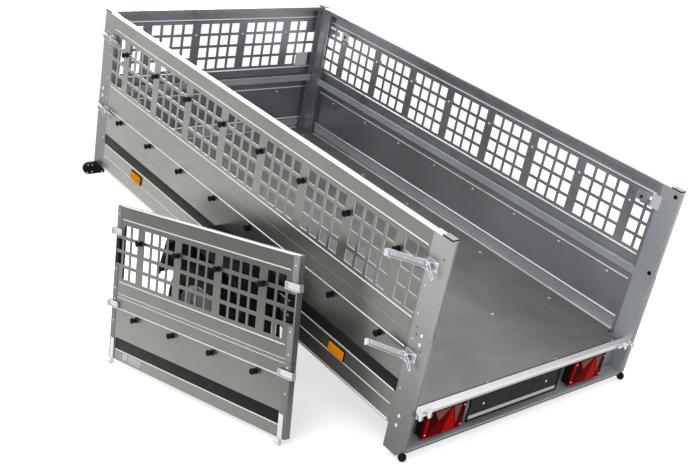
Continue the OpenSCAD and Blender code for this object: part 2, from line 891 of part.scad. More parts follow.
// Jockey wheel, along the Z axis of the drawbar's frame
clamp_half = 28;
clamp_reach = 40;
clamp_wall = 10;
module jockey_clamp() {
    color("dimgray") in_drawbar() difference() {
        block([drawbar_size / 2, jockey_y - clamp_reach, -clamp_half],
            [jockey_x + jockey_tube_r + clamp_wall, jockey_y + clamp_reach, clamp_half]);
        translate([jockey_x, jockey_y, -clamp_half - cut])
            cylinder(r = jockey_tube_r, h = 2 * (clamp_half + cut));
    }
}

stem_fit = 0.1;
tube_cap = 20;
crank_r = 9;
crank_rise = 24;
crank_side = 8;
crank_reach = 96;
grip_at = 88;
grip_r = 10;
grip_length = 64;
module jockey_tube() {
    color("silver") in_drawbar() translate([jockey_x, jockey_y, jockey_tube_bottom]) {
        difference() {
            cylinder(r = jockey_tube_r, h = jockey_tube);
            translate([0, 0, -cut]) cylinder(r = stem_r + stem_fit, h = jockey_tube - tube_cap + cut);
        }
        translate([0, 0, jockey_tube]) cylinder(r = crank_r, h = crank_rise);
        translate([-crank_side / 2, 0, jockey_tube + crank_rise])
            block([0, 0, 0], [crank_side, crank_reach, crank_side]);
        translate([0, grip_at, jockey_tube + crank_rise + crank_side - cut])
            cylinder(r = grip_r, h = grip_length);
    }
}

module jockey_stem() {
    color("gainsboro") in_drawbar() translate([jockey_x, jockey_y, 0])
        translate([0, 0, fork_top])
            cylinder(r = stem_r, h = jockey_tube_bottom + stem_grip - fork_top);
}

fork_gap = 6;
fork_half = jockey_width / 2 + fork_gap;
fork_thick = 4;
swivel_r = 30;
swivel_h = 12;
crown_half = 26;
fork_tip_r = 18;
axle_pin_r = 6;
module jockey_fork() {
    crown_low = fork_top - swivel_h - fork_thick;
    crown_high = fork_top - swivel_h;
    color("gainsboro") in_drawbar() translate([jockey_x, jockey_y, 0]) {
        translate([0, 0, crown_high]) cylinder(r = swivel_r, h = swivel_h - touch);
        for (side = [LEFT, RIGHT]) {
            sided(side) hull() {
                translate([-fork_half - fork_thick, -jockey_trail, jockey_wheel_z])
                    rotate([0, 90, 0]) cylinder(r = fork_tip_r, h = fork_thick, $fn = arm_fn);
                block([-fork_half - fork_thick, -crown_half, crown_low],
                    [-fork_half, crown_half, crown_high]);
            }
        }
        block([-fork_half - fork_thick, -crown_half, crown_low],
            [fork_half + fork_thick, crown_half, crown_high]);
        translate([0, -jockey_trail, jockey_wheel_z]) rotate([0, 90, 0])
            cylinder(r = axle_pin_r, h = 2 * fork_half, center = true);
    }
}

// Half profile of the small wheel, mirrored about its middle: hub, web, rim and round tread
pin_fit = 0.06;
jockey_hub_r = 20;
web_in_r = 24;
web_out_r = jockey_r - 34;
jockey_rim_r = jockey_r - 28;
tread_in = 8;
web_deep = 10;
function jockey_profile(w) = [[axle_pin_r + pin_fit, w], [jockey_hub_r, w], [web_in_r, w - web_deep],
    [web_out_r, w - web_deep], [jockey_rim_r, w], [jockey_r - tread_in, w], [jockey_r, w - web_deep]];
module jockey_wheel() {
    half = jockey_profile(jockey_width / 2);
    color([0.15, 0.15, 0.15]) in_drawbar()
        translate([jockey_x, jockey_wheel_y, jockey_wheel_z]) rotate([0, 90, 0])
            rotate_extrude($fn = wheel_fn) polygon(both_ways(half));
}

// Wheels: turned profiles about the stub, drawn with their outer side towards +Z
module at_wheel(side) {
    in_box() sided(side) translate([-tyre_mid_x, axle_y, axle_z]) rotate([0, -90, 0]) children();
}

tw = tyre_width / 2;
bead_seat = 22;
wheel_fn = 96;
function both_ways(half) = concat([for (p = half) [p[0], -p[1]]],
    [for (i = [len(half) - 1:-1:0]) half[i]]);
module tyre(side) {
    color([0.08, 0.08, 0.08]) at_wheel(side) rotate_extrude($fn = wheel_fn)
        polygon(both_ways([[rim_r, tw - bead_seat], [rim_r + 14, tw - 8], [rim_r + 60, tw],
            [tyre_r - 18, tw - 10], [tyre_r - 3, tw - 26], [tyre_r, tw - 40]]));
}

// Rim: a dropped well with flanges that hold the tyre, and a dished disc with hand holes
hub_r = 60;
bore_r = 33;
disc_z = 22;
disc_thick = 4;
disc_dish = 8;
disc_rise = 2;
well_deep = 22;
well_wall = 5;
flange_high = 9;
hand_hole_r = 7.5;
hand_hole_in = 33;
hand_holes = 16;
module rim(side) {
    color("silver") at_wheel(side) difference() {
        union() {
            rotate_extrude($fn = wheel_fn) polygon(
                both_ways([[rim_r - well_deep, tw - 44], [rim_r - 6, tw - 15],
                    [rim_r + flange_high, tw - 8.2], [rim_r + flange_high, tw - 12.2],
                    [rim_r - touch, tw - bead_seat], [rim_r - well_deep + well_wall, tw - 46]]));
            rotate_extrude($fn = wheel_fn) polygon([[bore_r, disc_z - disc_dish],
                [rim_r - 60, disc_z - disc_dish], [rim_r - 44, disc_z + disc_rise],
                [rim_r - 20, disc_z + disc_rise], [rim_r - 20, disc_z + disc_rise + disc_thick],
                [rim_r - 46, disc_z + disc_rise + disc_thick],
                [rim_r - 62, disc_z - disc_dish + disc_thick], [bore_r, disc_z - disc_dish + disc_thick]]);
        }
        for (i = [0:hand_holes - 1]) {
            rotate([0, 0, i * 360 / hand_holes]) translate([rim_r - hand_hole_in, 0, disc_z])
                cylinder(r = hand_hole_r, h = 2 * hand_hole_in, center = true);
        }
    }
}

stud_pcd_r = 50;
stud_r = 9;
stud_h = 14;
studs = 4;
drum_in = 8;
drum_h = 40;
hub_flange = 12;
hub_spigot_h = 44;
hub_fit = 0.1;
stub_fit = 0.06;
module hub(side) {
    drum_low = disc_z - disc_dish - hub_flange - drum_h;
    color("dimgray") at_wheel(side) {
        difference() {
            union() {
                translate([0, 0, drum_low]) cylinder(r = hub_r - drum_in, h = drum_h);
                translate([0, 0, drum_low + drum_h]) cylinder(r = hub_r + drum_in, h = hub_flange);
                translate([0, 0, disc_z - disc_dish - cut])
                    cylinder(r = bore_r - hub_fit, h = hub_spigot_h);
            }
            translate([0, 0, drum_low - cut]) cylinder(r = stub_r + stub_fit, h = drum_h + 3 * cut);
        }
        for (i = [0:studs - 1]) {
            rotate([0, 0, (i + 0.5) * 360 / studs])
                translate([stud_pcd_r, 0, disc_z - disc_dish + disc_thick])
                    cylinder(r = stud_r, h = stud_h);
        }
    }
}

// Tailgate
gate_beads = [low_beads[1] - gate_low, low_beads[2] - gate_low];
module gate_board() {
    color("silver") in_gate() rotate([0, 0, 180])
        plain_board(gate_width, 0, gate_low_height, gate_beads, stile_width);
}

module gate_mesh() {
    color("silver") in_gate() rotate([0, 0, 180]) mesh_board(gate_width, gate_mesh_z, gate_height,
        [for (z = mesh_beads) z - gate_low], stile_width);
}

catch_zs = [gate_low_height - 42, gate_height - 118];
catch_out = 26;
catch_in = 56;
catch_half = 15;
catch_deep = 12;
catch_web = 4;
catch_wall = 3;
module gate_catches() {
    color("gainsboro") in_gate() for (side = [LEFT, RIGHT], z = catch_zs) {
        sided(side) difference() {
            block([-gate_width / 2 - catch_out, -catch_deep, z - catch_half],
                [-gate_width / 2 + catch_in, -touch, z + catch_half]);
            block([-gate_width / 2 - catch_out - cut, -catch_deep - cut, z - catch_half + catch_wall],
                [-gate_width / 2 + catch_in - catch_wall, -catch_web, z + catch_half - catch_wall]);
        }
    }
}

hook_r = 12;
hook_bore = 6;
hook_out = 11;
strap_half = 13;
strap_in = 22;
strap_low = -4;
strap_high = 96;
strap_thick = 5;
module gate_hinges() {
    color("gainsboro") in_gate() for (side = [LEFT, RIGHT]) {
        sided(side) translate([-gate_width / 2 + strap_in, 0, 0]) {
            block([-strap_half, -strap_thick, strap_low], [strap_half, -touch, strap_high]);
            translate([-strap_half, -hook_out, hook_r - hook_drop]) rotate([0, 90, 0]) difference() {
                cylinder(r = hook_r, h = 2 * strap_half);
                translate([0, 0, -cut]) cylinder(r = hook_bore, h = 2 * (strap_half + cut));
            }
        }
    }
}

module gate_knobs() {
    color("black") in_gate() rotate([0, 0, 180])
        knob_rows(end_knob_xs, knob_low_z - gate_low, knob_high_z - gate_low);
}

cross_members();
long_rails();
floor_board();
floor_angles();
side_board(LEFT);  // side_board_left
side_board(RIGHT);  // side_board_right
front_board();
mesh_side(LEFT);  // mesh_side_left
mesh_side(RIGHT);  // mesh_side_right
mesh_front();
corner_post(LEFT, 1);  // corner_post_front_left
corner_post(RIGHT, 1);  // corner_post_front_right
corner_post(LEFT, -1);  // corner_post_rear_left
corner_post(RIGHT, -1);  // corner_post_rear_right
post_caps();
post_feet();
tie_knobs();
rear_sill();
sill_brackets();
gate_pins();
light_bar();
tail_lamp(lamp_left_x);  // tail_lamp_left
tail_lamp(lamp_right_x);  // tail_lamp_right
number_plate_board();
side_reflectors();
position_lamps();
rear_latches();
front_latches();
mudguard(LEFT);  // mudguard_left
mudguard(RIGHT);  // mudguard_right
axle_beam();
axle_mounts();
drawbar_hinge();
drawbar_catch();
tyre(LEFT);  // tyre_left
rim(LEFT);  // rim_left
hub(LEFT);  // hub_left
tyre(RIGHT);  // tyre_right
rim(RIGHT);  // rim_right
hub(RIGHT);  // hub_right
drawbar_tube();
coupling_head();
jockey_tube();
jockey_clamp();
jockey_stem();
jockey_fork();
jockey_wheel();
gate_board();
gate_mesh();
gate_catches();
gate_hinges();
gate_knobs();
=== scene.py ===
import json
import math

import bmesh
import bpy
from bpy.props import FloatProperty, FloatVectorProperty, IntProperty, PointerProperty
from mathutils import Matrix, Vector


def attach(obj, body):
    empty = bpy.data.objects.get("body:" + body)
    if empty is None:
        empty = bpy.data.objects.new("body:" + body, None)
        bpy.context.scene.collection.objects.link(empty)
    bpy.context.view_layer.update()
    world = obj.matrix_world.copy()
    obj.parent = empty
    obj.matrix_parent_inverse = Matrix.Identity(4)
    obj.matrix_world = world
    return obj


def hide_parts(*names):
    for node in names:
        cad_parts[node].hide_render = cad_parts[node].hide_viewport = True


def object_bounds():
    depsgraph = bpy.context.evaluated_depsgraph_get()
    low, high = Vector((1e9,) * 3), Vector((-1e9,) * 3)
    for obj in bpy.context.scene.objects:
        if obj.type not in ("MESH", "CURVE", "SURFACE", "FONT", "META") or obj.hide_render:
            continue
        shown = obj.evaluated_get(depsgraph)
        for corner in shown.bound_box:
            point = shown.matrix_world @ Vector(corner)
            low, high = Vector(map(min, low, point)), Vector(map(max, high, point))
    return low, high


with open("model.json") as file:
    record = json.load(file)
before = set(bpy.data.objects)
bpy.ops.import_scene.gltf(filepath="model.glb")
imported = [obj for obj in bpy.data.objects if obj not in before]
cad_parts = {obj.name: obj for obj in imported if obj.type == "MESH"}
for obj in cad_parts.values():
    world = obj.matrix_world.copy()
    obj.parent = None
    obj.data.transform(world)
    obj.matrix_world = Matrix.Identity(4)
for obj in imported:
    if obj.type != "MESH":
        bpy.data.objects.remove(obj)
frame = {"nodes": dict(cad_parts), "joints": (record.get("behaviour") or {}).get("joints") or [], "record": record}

bl_info = {
    "name": "Tipping Box Trailer",
    "version": (1, 0, 0),
    "blender": (4, 5, 0),
    "location": "View3D > Sidebar > Trailer",
    "description": "Visible pieces and finishes of a single-axle box trailer around its CAD frame",
    "category": "Object",
}

CAD_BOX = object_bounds()
JOINTS = {j["name"]: j for j in frame["joints"]}
MOUNTS = {m["name"]: m for m in frame["record"]["mounts"]}
MM = 0.001

# ---------------------------------------------------------------- sizes in mm, as in the CAD model
# the box: half its length and width, skins, folds, posts and boards
HALF_L = 1225.0
HALF_W = 655.0
SKIN = 654.0
FRONT_SKIN = 1224.0
FOLD = 26.0
SHEET = 3.0
POST_SIDE = 92.0
POST_THICK = 30.0
POST_TOP = 866.0
POST_LOW = 22.0
BOARD_LOW = 80.0
SPLIT = 461.0
SEAM = 1.0
LIP_HEIGHT = 16.0
SKIRT_TOP = 206.0
CAP_LENGTH = 52.0
# pressed ridges of the lower and the upper boards
RIDGE_R = 5.5
RIDGE_SUNK = 2.5
LOW_RIDGES = (86.0, 213.0, 400.0)
HIGH_RIDGES = (520.0, 803.0)
# bolts on the outer face of a post: distance from its end, height, radius
POST_BOLTS = ((35, 485, 8.5), (35, 448, 8.5), (75, 665, 4), (75, 554, 4), (75, 451, 4), (75, 244, 4))
REAR_POST_BOLTS = ((48, 139, 8), (51, 97, 8))
# small holes of a post, drawn as black discs of painted shade: distance from its end, height; and the heights of
# its plugs
POST_HOLES = ((20, 790), (64, 505), (60, 476), (26, 425))
POST_PLUGS = (839, 489)
# tie-down knobs and ribs
RIB = 283.0
KNOB_LOW = 380.0
KNOB_HIGH = 722.0
KNOB_COLUMNS = 8
FRONT_COLUMNS = 4
# floor, its screws and its rear seal
FLOOR = 154.0
SCREW_XS = (-570.0, -200.0, 200.0, 570.0)
SCREW_YS = (-1178.0, -805.0, -354.0, 186.0, 552.0, 1100.0)
EDGE_SCREW_X = 644.0
SEAL_HALF = 620.0
DOME_FOOT = 0.3
# rear end: lamp bar, brackets and pins of the sill, lamps and number plate board
BAR_TRIM_HALF = 622.0
BRACKET_X = (-623.0, -543.0)
BRACKET_Z = (148.0, 172.0)
PIN_XS = (-615.0, -571.0)
PIN_Z = 158.0
TAIL_LAMP_XS = (("left", -440.0), ("right", 392.0))
LAMP_LOW, LAMP_HIGH, LAMP_HALF = 16.0, 136.0, 102.5
PLATE_X = (-330.0, 190.0)
PLATE_Z = (35.7, 145.7)
# sides: stripe, reflectors, front position lamps, latches
STRIPE_LOW = 217.0
STRIPE_HIGH = 268.0
STRIPE_HALF = 1132.0
REFLECTOR_X = 795.0
POSITION_LAMP_Z = 47.7
LATCH_ZS = (390.0, 752.0)
LEVER_DROP, LEVER_SWING = math.radians(-10), math.radians(14)
# tailgate, measured from its own lower edge
GATE_LOW = 166.0
GATE_HALF = 621.0
GATE_HEIGHT = 700.0
GATE_SPLIT = 295.0
GATE_HOLES = (432.0, 557.0)
GATE_STILE = 30.0
GATE_RIM = 42.0
CATCH_ZS = (GATE_SPLIT - 44.0, GATE_HEIGHT - 118.0)
HOOK_X = 22.0
# road wheels, in the frame of the box
AXLE_Y = -130.0
AXLE_Z = -66.0
TYRE_MID = 763.0
TYRE_R = 280.0
TYRE_HALF = 74.0
RIM_R = 165.0
# drawbar and jockey wheel, in the frame of the drawbar
BAR_HALF = 30.0
COUPLING_Y = 1800.0
JOCKEY_X = 66.0
JOCKEY_Y = 1250.0
JOCKEY_TRAIL = 28.0
JOCKEY_AXLE_Z = -428.0
JOCKEY_TUBE_R = 24.0
JOCKEY_RIM = 71.0
JOCKEY_FORK = 35.0
JOCKEY_LOW = -45.0
COLLAR_STEP = 366.0
CRANK_Z = 359.0

# ---------------------------------------------------------------- where each group of pieces is
_up = MOUNTS["load_floor"]["axis"]
TILT = math.atan2(-_up[1], _up[2])
DROOP = math.radians(JOINTS["drawbar_tilt"]["range_deg"][1]) - TILT
_left = Vector(JOINTS["wheel_left_spin"]["pos_m"])
_right = Vector(JOINTS["wheel_right_spin"]["pos_m"])
_turn = Matrix.Rotation(TILT, 4, "X")
_origin = (_left + _right) / 2 - _turn @ Vector((0, AXLE_Y * MM, AXLE_Z * MM))
TO_MM = Matrix.Scale(MM, 4)
BOX = Matrix.Translation(_origin) @ _turn @ TO_MM
BAR = Matrix.Translation(JOINTS["drawbar_tilt"]["pos_m"]) @ Matrix.Rotation(-DROOP, 4, "X") @ TO_MM
GATE_YAW = math.radians(3.7)
GATE_LEAN = math.radians(7.4)
GATE_PLACE = (_origin.x - 0.93669, _origin.y - 0.174, 0)
GATE_FOOT = 25
GATE = (
    Matrix.Translation(GATE_PLACE)
    @ Matrix.Rotation(GATE_YAW - math.pi / 2, 4, "Z")
    @ Matrix.Rotation(-GATE_LEAN, 4, "X")
    @ TO_MM
    @ Matrix.Translation((0, 0, GATE_FOOT))
)
FLIP = Matrix.Scale(-1, 4, (1, 0, 0))


def flipped(side):
    """What is drawn for the left, side -1, stays; for side 1 it is mirrored over to the right."""
    return FLIP if side > 0 else Matrix.Identity(4)


def on_side(side):
    """Frame of a side board in the box: X runs along it, Y out of its skin, Z up."""
    return flipped(side) @ Matrix.Translation((-SKIN, 0, 0)) @ Matrix.Rotation(math.pi / 2, 4, "Z")


def faces_in(place):
    """Gives a function that says where a face of a CAD copy is, and where it looks, in that frame."""
    back = place.inverted()
    turn = back.to_3x3()
    return lambda face: (back @ face.calc_center_median(), (turn @ face.normal).normalized())


def lit(place, level=0.3):
    """A choice of finish: 1 for the faces that look up in that frame, 0 for the others."""
    look = faces_in(place)
    return lambda face: int(look(face)[1].z > level)


# ---------------------------------------------------------------- mesh helpers
def join(bm, part, matrix=None, slot=0):
    """Adds part to bm, placed by matrix and with its faces in that material slot."""
    if matrix is not None:
        part.transform(matrix)
    for face in part.faces:
        face.material_index = slot
    mesh = bpy.data.meshes.new("part")
    part.to_mesh(mesh)
    part.free()
    bm.from_mesh(mesh)
    bpy.data.meshes.remove(mesh)


def outward(bm):
    """Turns every face to look out of its shape."""
    bmesh.ops.recalc_face_normals(bm, faces=bm.faces)


def soften(part, width, segments=2, angle=30.0):
    """Rounds every edge of part that is sharper than angle."""
    limit = math.radians(angle)
    edges = [e for e in part.edges if len(e.link_faces) == 2 and e.calc_face_angle(0) > limit]
    if edges and width > 0:
        bmesh.ops.bevel(part, geom=edges, offset=width, affect="EDGES", segments=segments,
                        profile=0.5, material=-1, clamp_overlap=True)


def block(bm, low, high, soft=1.0, slot=0, matrix=None, segments=2):
    """A rectangular bar between two corners with softened edges."""
    part = bmesh.new()
    bmesh.ops.create_cube(part, size=1)
    low, high = Vector(low), Vector(high)
    size = high - low
    bmesh.ops.scale(part, vec=size, verts=part.verts)
    bmesh.ops.translate(part, vec=(low + high) / 2, verts=part.verts)
    soften(part, min(soft, min(size) * 0.45), segments)
    join(bm, part, matrix, slot)


AXES = {
    "X": Matrix.Rotation(math.pi / 2, 4, "Y"),
    "Y": Matrix.Rotation(-math.pi / 2, 4, "X"),
    "-Y": Matrix.Rotation(math.pi / 2, 4, "X"),
    "Z": Matrix.Identity(4),
    "-X": Matrix.Rotation(-math.pi / 2, 4, "Y"),
    "-Z": Matrix.Rotation(math.pi, 4, "X"),
}


def turned(bm, profile, place=(0, 0, 0), axis="Z", steps=32, slot=0, matrix=None):
    """A turned shape: profile is (radius, height) points along the axis, spun about it."""
    part = bmesh.new()
    verts = [part.verts.new((r, 0, h)) for r, h in profile]
    edges = [part.edges.new(pair) for pair in zip(verts, verts[1:])]
    bmesh.ops.spin(part, geom=verts + edges, cent=(0, 0, 0), axis=(0, 0, 1), angle=2 * math.pi,
                   steps=steps, use_merge=True, dvec=(0, 0, 0))
    bmesh.ops.remove_doubles(part, verts=part.verts, dist=0.001)
    outward(part)
    move = Matrix.Translation(place) @ AXES[axis]
    join(bm, part, (matrix @ move) if matrix is not None else move, slot)


def rod(bm, place, axis, radius, length, soft=0.6, steps=24, slot=0, matrix=None):
    """A round bar with softened rims, starting at place and running along axis."""
    s = min(soft, radius * 0.5, length * 0.5)
    turned(bm, [(0, 0), (radius - s, 0), (radius - 0.3 * s, 0.3 * s), (radius, s),
                (radius, length - s), (radius - 0.3 * s, length - 0.3 * s),
                (radius - s, length), (0, length)], place, axis, steps, slot, matrix)


def hexagon(bm, place, axis, radius, height, slot=0, matrix=None):
    """A hexagonal bolt head or nut with a softened rim, starting at place and running along axis."""
    part = bmesh.new()
    bmesh.ops.create_cone(part, cap_ends=True, segments=6, radius1=radius, radius2=radius, depth=height)
    soften(part, radius * 0.09, 2, 20)
    bmesh.ops.translate(part, vec=(0, 0, height / 2), verts=part.verts)
    move = Matrix.Translation(place) @ AXES[axis]
    join(bm, part, move if matrix is None else matrix @ move, slot)


def dome(bm, place, axis, radius, height, steps=12, slot=0, matrix=None):
    """A domed rivet or screw head standing on place."""
    ring = [(0, -DOME_FOOT), (radius, -DOME_FOOT), (radius, height * 0.15)]
    ring += [(radius * math.cos(a), height * (0.15 + 0.85 * math.sin(a)))
             for a in (math.radians(d) for d in (25, 50, 70))]
    turned(bm, ring + [(0, height)], place, axis, steps, slot, matrix)


def wire(bm, points, radius, sides=10, slot=0, matrix=None):
    """A round wire through points, with its ends closed."""
    part = bmesh.new()
    points = [Vector(p) for p in points]
    rings = []
    across = None
    for i, point in enumerate(points):
        ahead = points[min(i + 1, len(points) - 1)] - points[max(i - 1, 0)]
        ahead.normalize()
        if across is None:
            across = ahead.orthogonal()
        across = (across - ahead * across.dot(ahead)).normalized()
        other = ahead.cross(across)
        ring = bmesh.ops.create_circle(part, cap_ends=False, radius=radius, segments=sides)["verts"]
        frame3 = Matrix((across, other, ahead)).transposed().to_4x4()
        bmesh.ops.transform(part, matrix=Matrix.Translation(point) @ frame3, verts=ring)
        rings.append([e for e in part.edges if e.verts[0] in ring and e.verts[1] in ring])
    for first, second in zip(rings, rings[1:]):
        bmesh.ops.bridge_loops(part, edges=first + second)
    bmesh.ops.holes_fill(part, edges=[e for e in part.edges if e.is_boundary], sides=sides)
    outward(part)
    join(bm, part, matrix, slot)


def prism(bm, outline, low, high, soft=0.0, slot=0, matrix=None, segments=2):
    """A flat outline of (x, y) points raised from low to high along Z."""
    part = bmesh.new()
    face = part.faces.new([part.verts.new((x, y, low)) for x, y in outline])
    raised = bmesh.ops.extrude_face_region(part, geom=[face])["geom"]
    moved = [v for v in raised if isinstance(v, bmesh.types.BMVert)]
    bmesh.ops.translate(part, vec=(0, 0, high - low), verts=moved)
    outward(part)
    soften(part, soft, segments)
    join(bm, part, matrix, slot)


def finish_piece(name, bm, place, body, finishes, replaces="", angle=38.0, weighted=True):
    """Makes bm an object of the scene, placed by its frame, and hangs it on its body."""
    if place is not None:
        bm.transform(place)
        if place.determinant() < 0:
            bmesh.ops.reverse_faces(bm, faces=bm.faces)
    mesh = bpy.data.meshes.new(name)
    bm.to_mesh(mesh)
    bm.free()
    for finish in finishes.split():
        mesh.materials.append(MATERIALS[finish])
    mesh.shade_smooth()
    mesh.set_sharp_from_angle(angle=math.radians(angle))
    piece = bpy.data.objects.new(name, mesh)
    bpy.context.scene.collection.objects.link(piece)
    if weighted:
        even = piece.modifiers.new("Even faces", "WEIGHTED_NORMAL")
        even.keep_sharp = True
    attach(piece, body)
    if replaces:
        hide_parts(replaces)


def formed(node, body, finishes, soft=1.0, segments=2, choose=None, angle=30.0):
    """A copy of a CAD node with merged faces and softened edges, which stands for the node."""
    source = frame["nodes"][node]
    bm = bmesh.new()
    bm.from_mesh(source.data)
    bmesh.ops.remove_doubles(bm, verts=bm.verts, dist=2e-5)
    bmesh.ops.dissolve_limit(bm, angle_limit=math.radians(0.8), verts=bm.verts, edges=bm.edges,
                             use_dissolve_boundaries=False)
    if soft > 0:
        soften(bm, soft * MM, segments, angle)
    if choose is not None:
        for face in bm.faces:
            face.material_index = choose(face)
    finish_piece(node + "_formed", bm, None, body, finishes, node)


# ---------------------------------------------------------------- settings
class TrailerSizes(bpy.types.PropertyGroup):
    rivet: FloatProperty(name="Rivet head", description="Radius of a rivet head",
                         default=0.0045, min=0.002, max=0.01, unit="LENGTH")
    screw: FloatProperty(name="Floor screw", description="Radius of a floor screw's head",
                         default=0.0075, min=0.004, max=0.012, unit="LENGTH")
    knob: FloatProperty(name="Knob head", description="Radius of a tie-down knob's head",
                        default=0.0130, min=0.008, max=0.018, unit="LENGTH")
    edge: FloatProperty(name="Edge radius", description="Radius on the edges of the folded sheet",
                        default=0.0009, min=0.0002, max=0.003, unit="LENGTH")
    tread: FloatProperty(name="Tread depth", description="Depth of the tyres' grooves",
                         default=0.006, min=0.002, max=0.01, unit="LENGTH")
    tread_pitch: IntProperty(name="Tread blocks", description="Tread blocks round a tyre",
                             default=54, min=30, max=90)


COLOURS = {
    "zinc_outside": ("Zinc sheet on the outside", (0.290, 0.280, 0.254)),
    "zinc_gate": ("Zinc sheet of the tailgate", (0.225, 0.219, 0.200)),
    # painted light: the inside of the box gets a paler, bluer copy of the zinc than the outside
    "zinc_inside": ("Zinc sheet inside the box", (0.430, 0.450, 0.485)),
    # painted highlight: a pale copy of the zinc, given to faces that look up and to rolled edges
    "zinc_edge": ("Rolled edges and ridges that catch the light", (0.82, 0.82, 0.81)),
    # painted light: a paler, less metallic copy of the zinc for the ledge under the sill, where shade falls
    "zinc_ledge": ("Ledge under the tail lamps", (0.60, 0.63, 0.66)),
    # painted light in part: a paler, less metallic zinc for the lip strips inside the box and the rear posts'
    # inner faces; the jockey tube and stem use it as their plain finish
    "zinc_lip": ("Inner folds between the boards", (0.47, 0.50, 0.54)),
    "zinc_post": ("Corner posts", (0.370, 0.370, 0.365)),
    "bright_zinc": ("Plated fittings", (0.66, 0.69, 0.72)),
    "frame_zinc": ("Chassis under the floor", (0.40, 0.41, 0.42)),
    "floor_film": ("Face of the plywood floor", (0.200, 0.190, 0.180)),
    "stripe": ("Dark stripe on the boards", (0.018, 0.0175, 0.018)),
    "plastic": ("Knobs, caps and mudguards", (0.007, 0.007, 0.0075)),
    "rubber": ("Tyres and seals", (0.018, 0.018, 0.018)),
    "lens_red": ("Bright facets of the tail lamps", (0.60, 0.001, 0.001)),
    # painted shade in part: the darker red on the left half of the tail lamps' raised triangle
    "lens_mid": ("Second facets of the tail lamps", (0.20, 0.001, 0.001)),
    "lens_dark": ("Outer fields of the tail lamps", (0.055, 0.001, 0.001)),
    "lens_brown": ("Indicator field", (0.28, 0.110, 0.075)),
    "lens_amber": ("Side reflectors", (0.95, 0.30, 0.004)),
    "silver": ("Enamel of the rims", (0.50, 0.51, 0.52)),
    "enamel": ("Coupling, clamp and hubs", (0.020, 0.020, 0.022)),
    "label": ("Blank labels", (0.72, 0.72, 0.70)),
}


class TrailerColours(bpy.types.PropertyGroup):
    __annotations__ = {
        key: FloatVectorProperty(name=key.replace("_", " ").capitalize(), description=text, default=value,
                                 size=3, min=0.0, max=1.0, subtype="COLOR")
        for key, (text, value) in COLOURS.items()}


class StageSettings(bpy.types.PropertyGroup):
    lens: FloatProperty(name="Focal length", description="Focal length of the camera in mm",
                        default=54.51, min=20, max=200)
    azimuth: FloatProperty(name="Azimuth", description="Direction that the camera looks in",
                           default=math.radians(-39.43), subtype="ANGLE")
    elevation: FloatProperty(name="Elevation", description="Height angle of the camera",
                             default=math.radians(13.40), subtype="ANGLE")
    sky: FloatProperty(name="Sky", description="Strength of the even light", default=0.50,
                       min=0.0, max=2.0)
    key: FloatProperty(name="Key lamp", description="Power of the lamp at the left rear in watts",
                       default=95.0, min=0.0, max=2000.0)
    top: FloatProperty(name="Top lamp", description="Power of the lamp over the front in watts",
                       default=170.0, min=0.0, max=2000.0)


def sizes():
    return bpy.context.scene.trailer_sizes


def tone(name):
    return (*getattr(bpy.context.scene.trailer_colours, name), 1.0)


OPERATORS = []


def step(label):
    """Makes a build function an operator of the add-on; the operators run in the order of this file."""
    def enlist(build):
        def execute(self, context):
            build()
            return {"FINISHED"}

        name = build.__name__.replace("build_", "")
        OPERATORS.append(type("TRAILER_OT_" + name, (bpy.types.Operator,), {
            "__doc__": build.__doc__, "bl_idname": "trailer." + name, "bl_label": label, "execute": execute}))
        return build

    return enlist


# ---------------------------------------------------------------- shader groups
class Group:
    """A small helper round a node tree: adds nodes and links them in one call each."""

    def __init__(self, tree):
        self.tree = tree

    def link(self, out, into):
        self.tree.links.new(out, into)

    def node(self, kind, feeds=None, **values):
        """A node with its properties, and what goes into its inputs: a number, a colour or a link."""
        made = self.tree.nodes.new(kind)
        for key, value in values.items():
            setattr(made, key, value)
        for key, value in (feeds or {}).items():
            if isinstance(value, bpy.types.NodeSocket):
                self.link(value, made.inputs[key])
            else:
                made.inputs[key].default_value = value
        return made

    def maths(self, operation, *values, clamp=False):
        return self.node("ShaderNodeMath", dict(enumerate(values)), operation=operation,
                         use_clamp=clamp).outputs[0]

    def noise(self, vector, scale, detail=3.0, roughness=0.5, distortion=0.0):
        made = self.node("ShaderNodeTexNoise", {"Vector": vector, "Scale": scale, "Detail": detail,
                                                "Roughness": roughness, "Distortion": distortion})
        return made.outputs["Fac"]

    def cells(self, vector, scale, randomness, **values):
        return self.node("ShaderNodeTexVoronoi", {"Vector": vector, "Scale": scale, "Randomness": randomness},
                         feature="F1", **values)

    def spread(self, value, low, high, to_low=0.0, to_high=1.0):
        return self.node("ShaderNodeMapRange", {"Value": value, "From Min": low, "From Max": high,
                                                "To Min": to_low, "To Max": to_high}).outputs["Result"]

    def stretched(self, vector, scale):
        return self.node("ShaderNodeMapping", {"Vector": vector, "Scale": scale}).outputs["Vector"]

    def mixed(self, factor, first, second, blend="MIX"):
        return self.node("ShaderNodeMix", {0: factor, 6: first, 7: second}, data_type="RGBA",
                         blend_type=blend).outputs[2]

    def shaded(self, tint, shade):
        """A colour times a number."""
        grey = self.node("ShaderNodeCombineColor", {0: shade, 1: shade, 2: shade}).outputs[0]
        return self.mixed(1.0, tint, grey, "MULTIPLY")

    def shown(self):
        """1 for the rays that show the stage in view, in a reflection or through a lens, else 0."""
        path = self.node("ShaderNodeLightPath").outputs
        seen = self.maths("MAXIMUM", path["Is Camera Ray"], path["Is Glossy Ray"])
        return self.maths("MAXIMUM", seen, path["Is Transmission Ray"])


def new_group(name, inputs, outputs):
    tree = bpy.data.node_groups.new(name, "ShaderNodeTree")
    for label, kind, value in inputs:
        socket = tree.interface.new_socket(label, in_out="INPUT", socket_type=kind)
        if value is not None:
            socket.default_value = value
    for label, kind in outputs:
        tree.interface.new_socket(label, in_out="OUTPUT", socket_type=kind)
    group = Group(tree)
    return group, group.node("NodeGroupInput"), group.node("NodeGroupOutput")


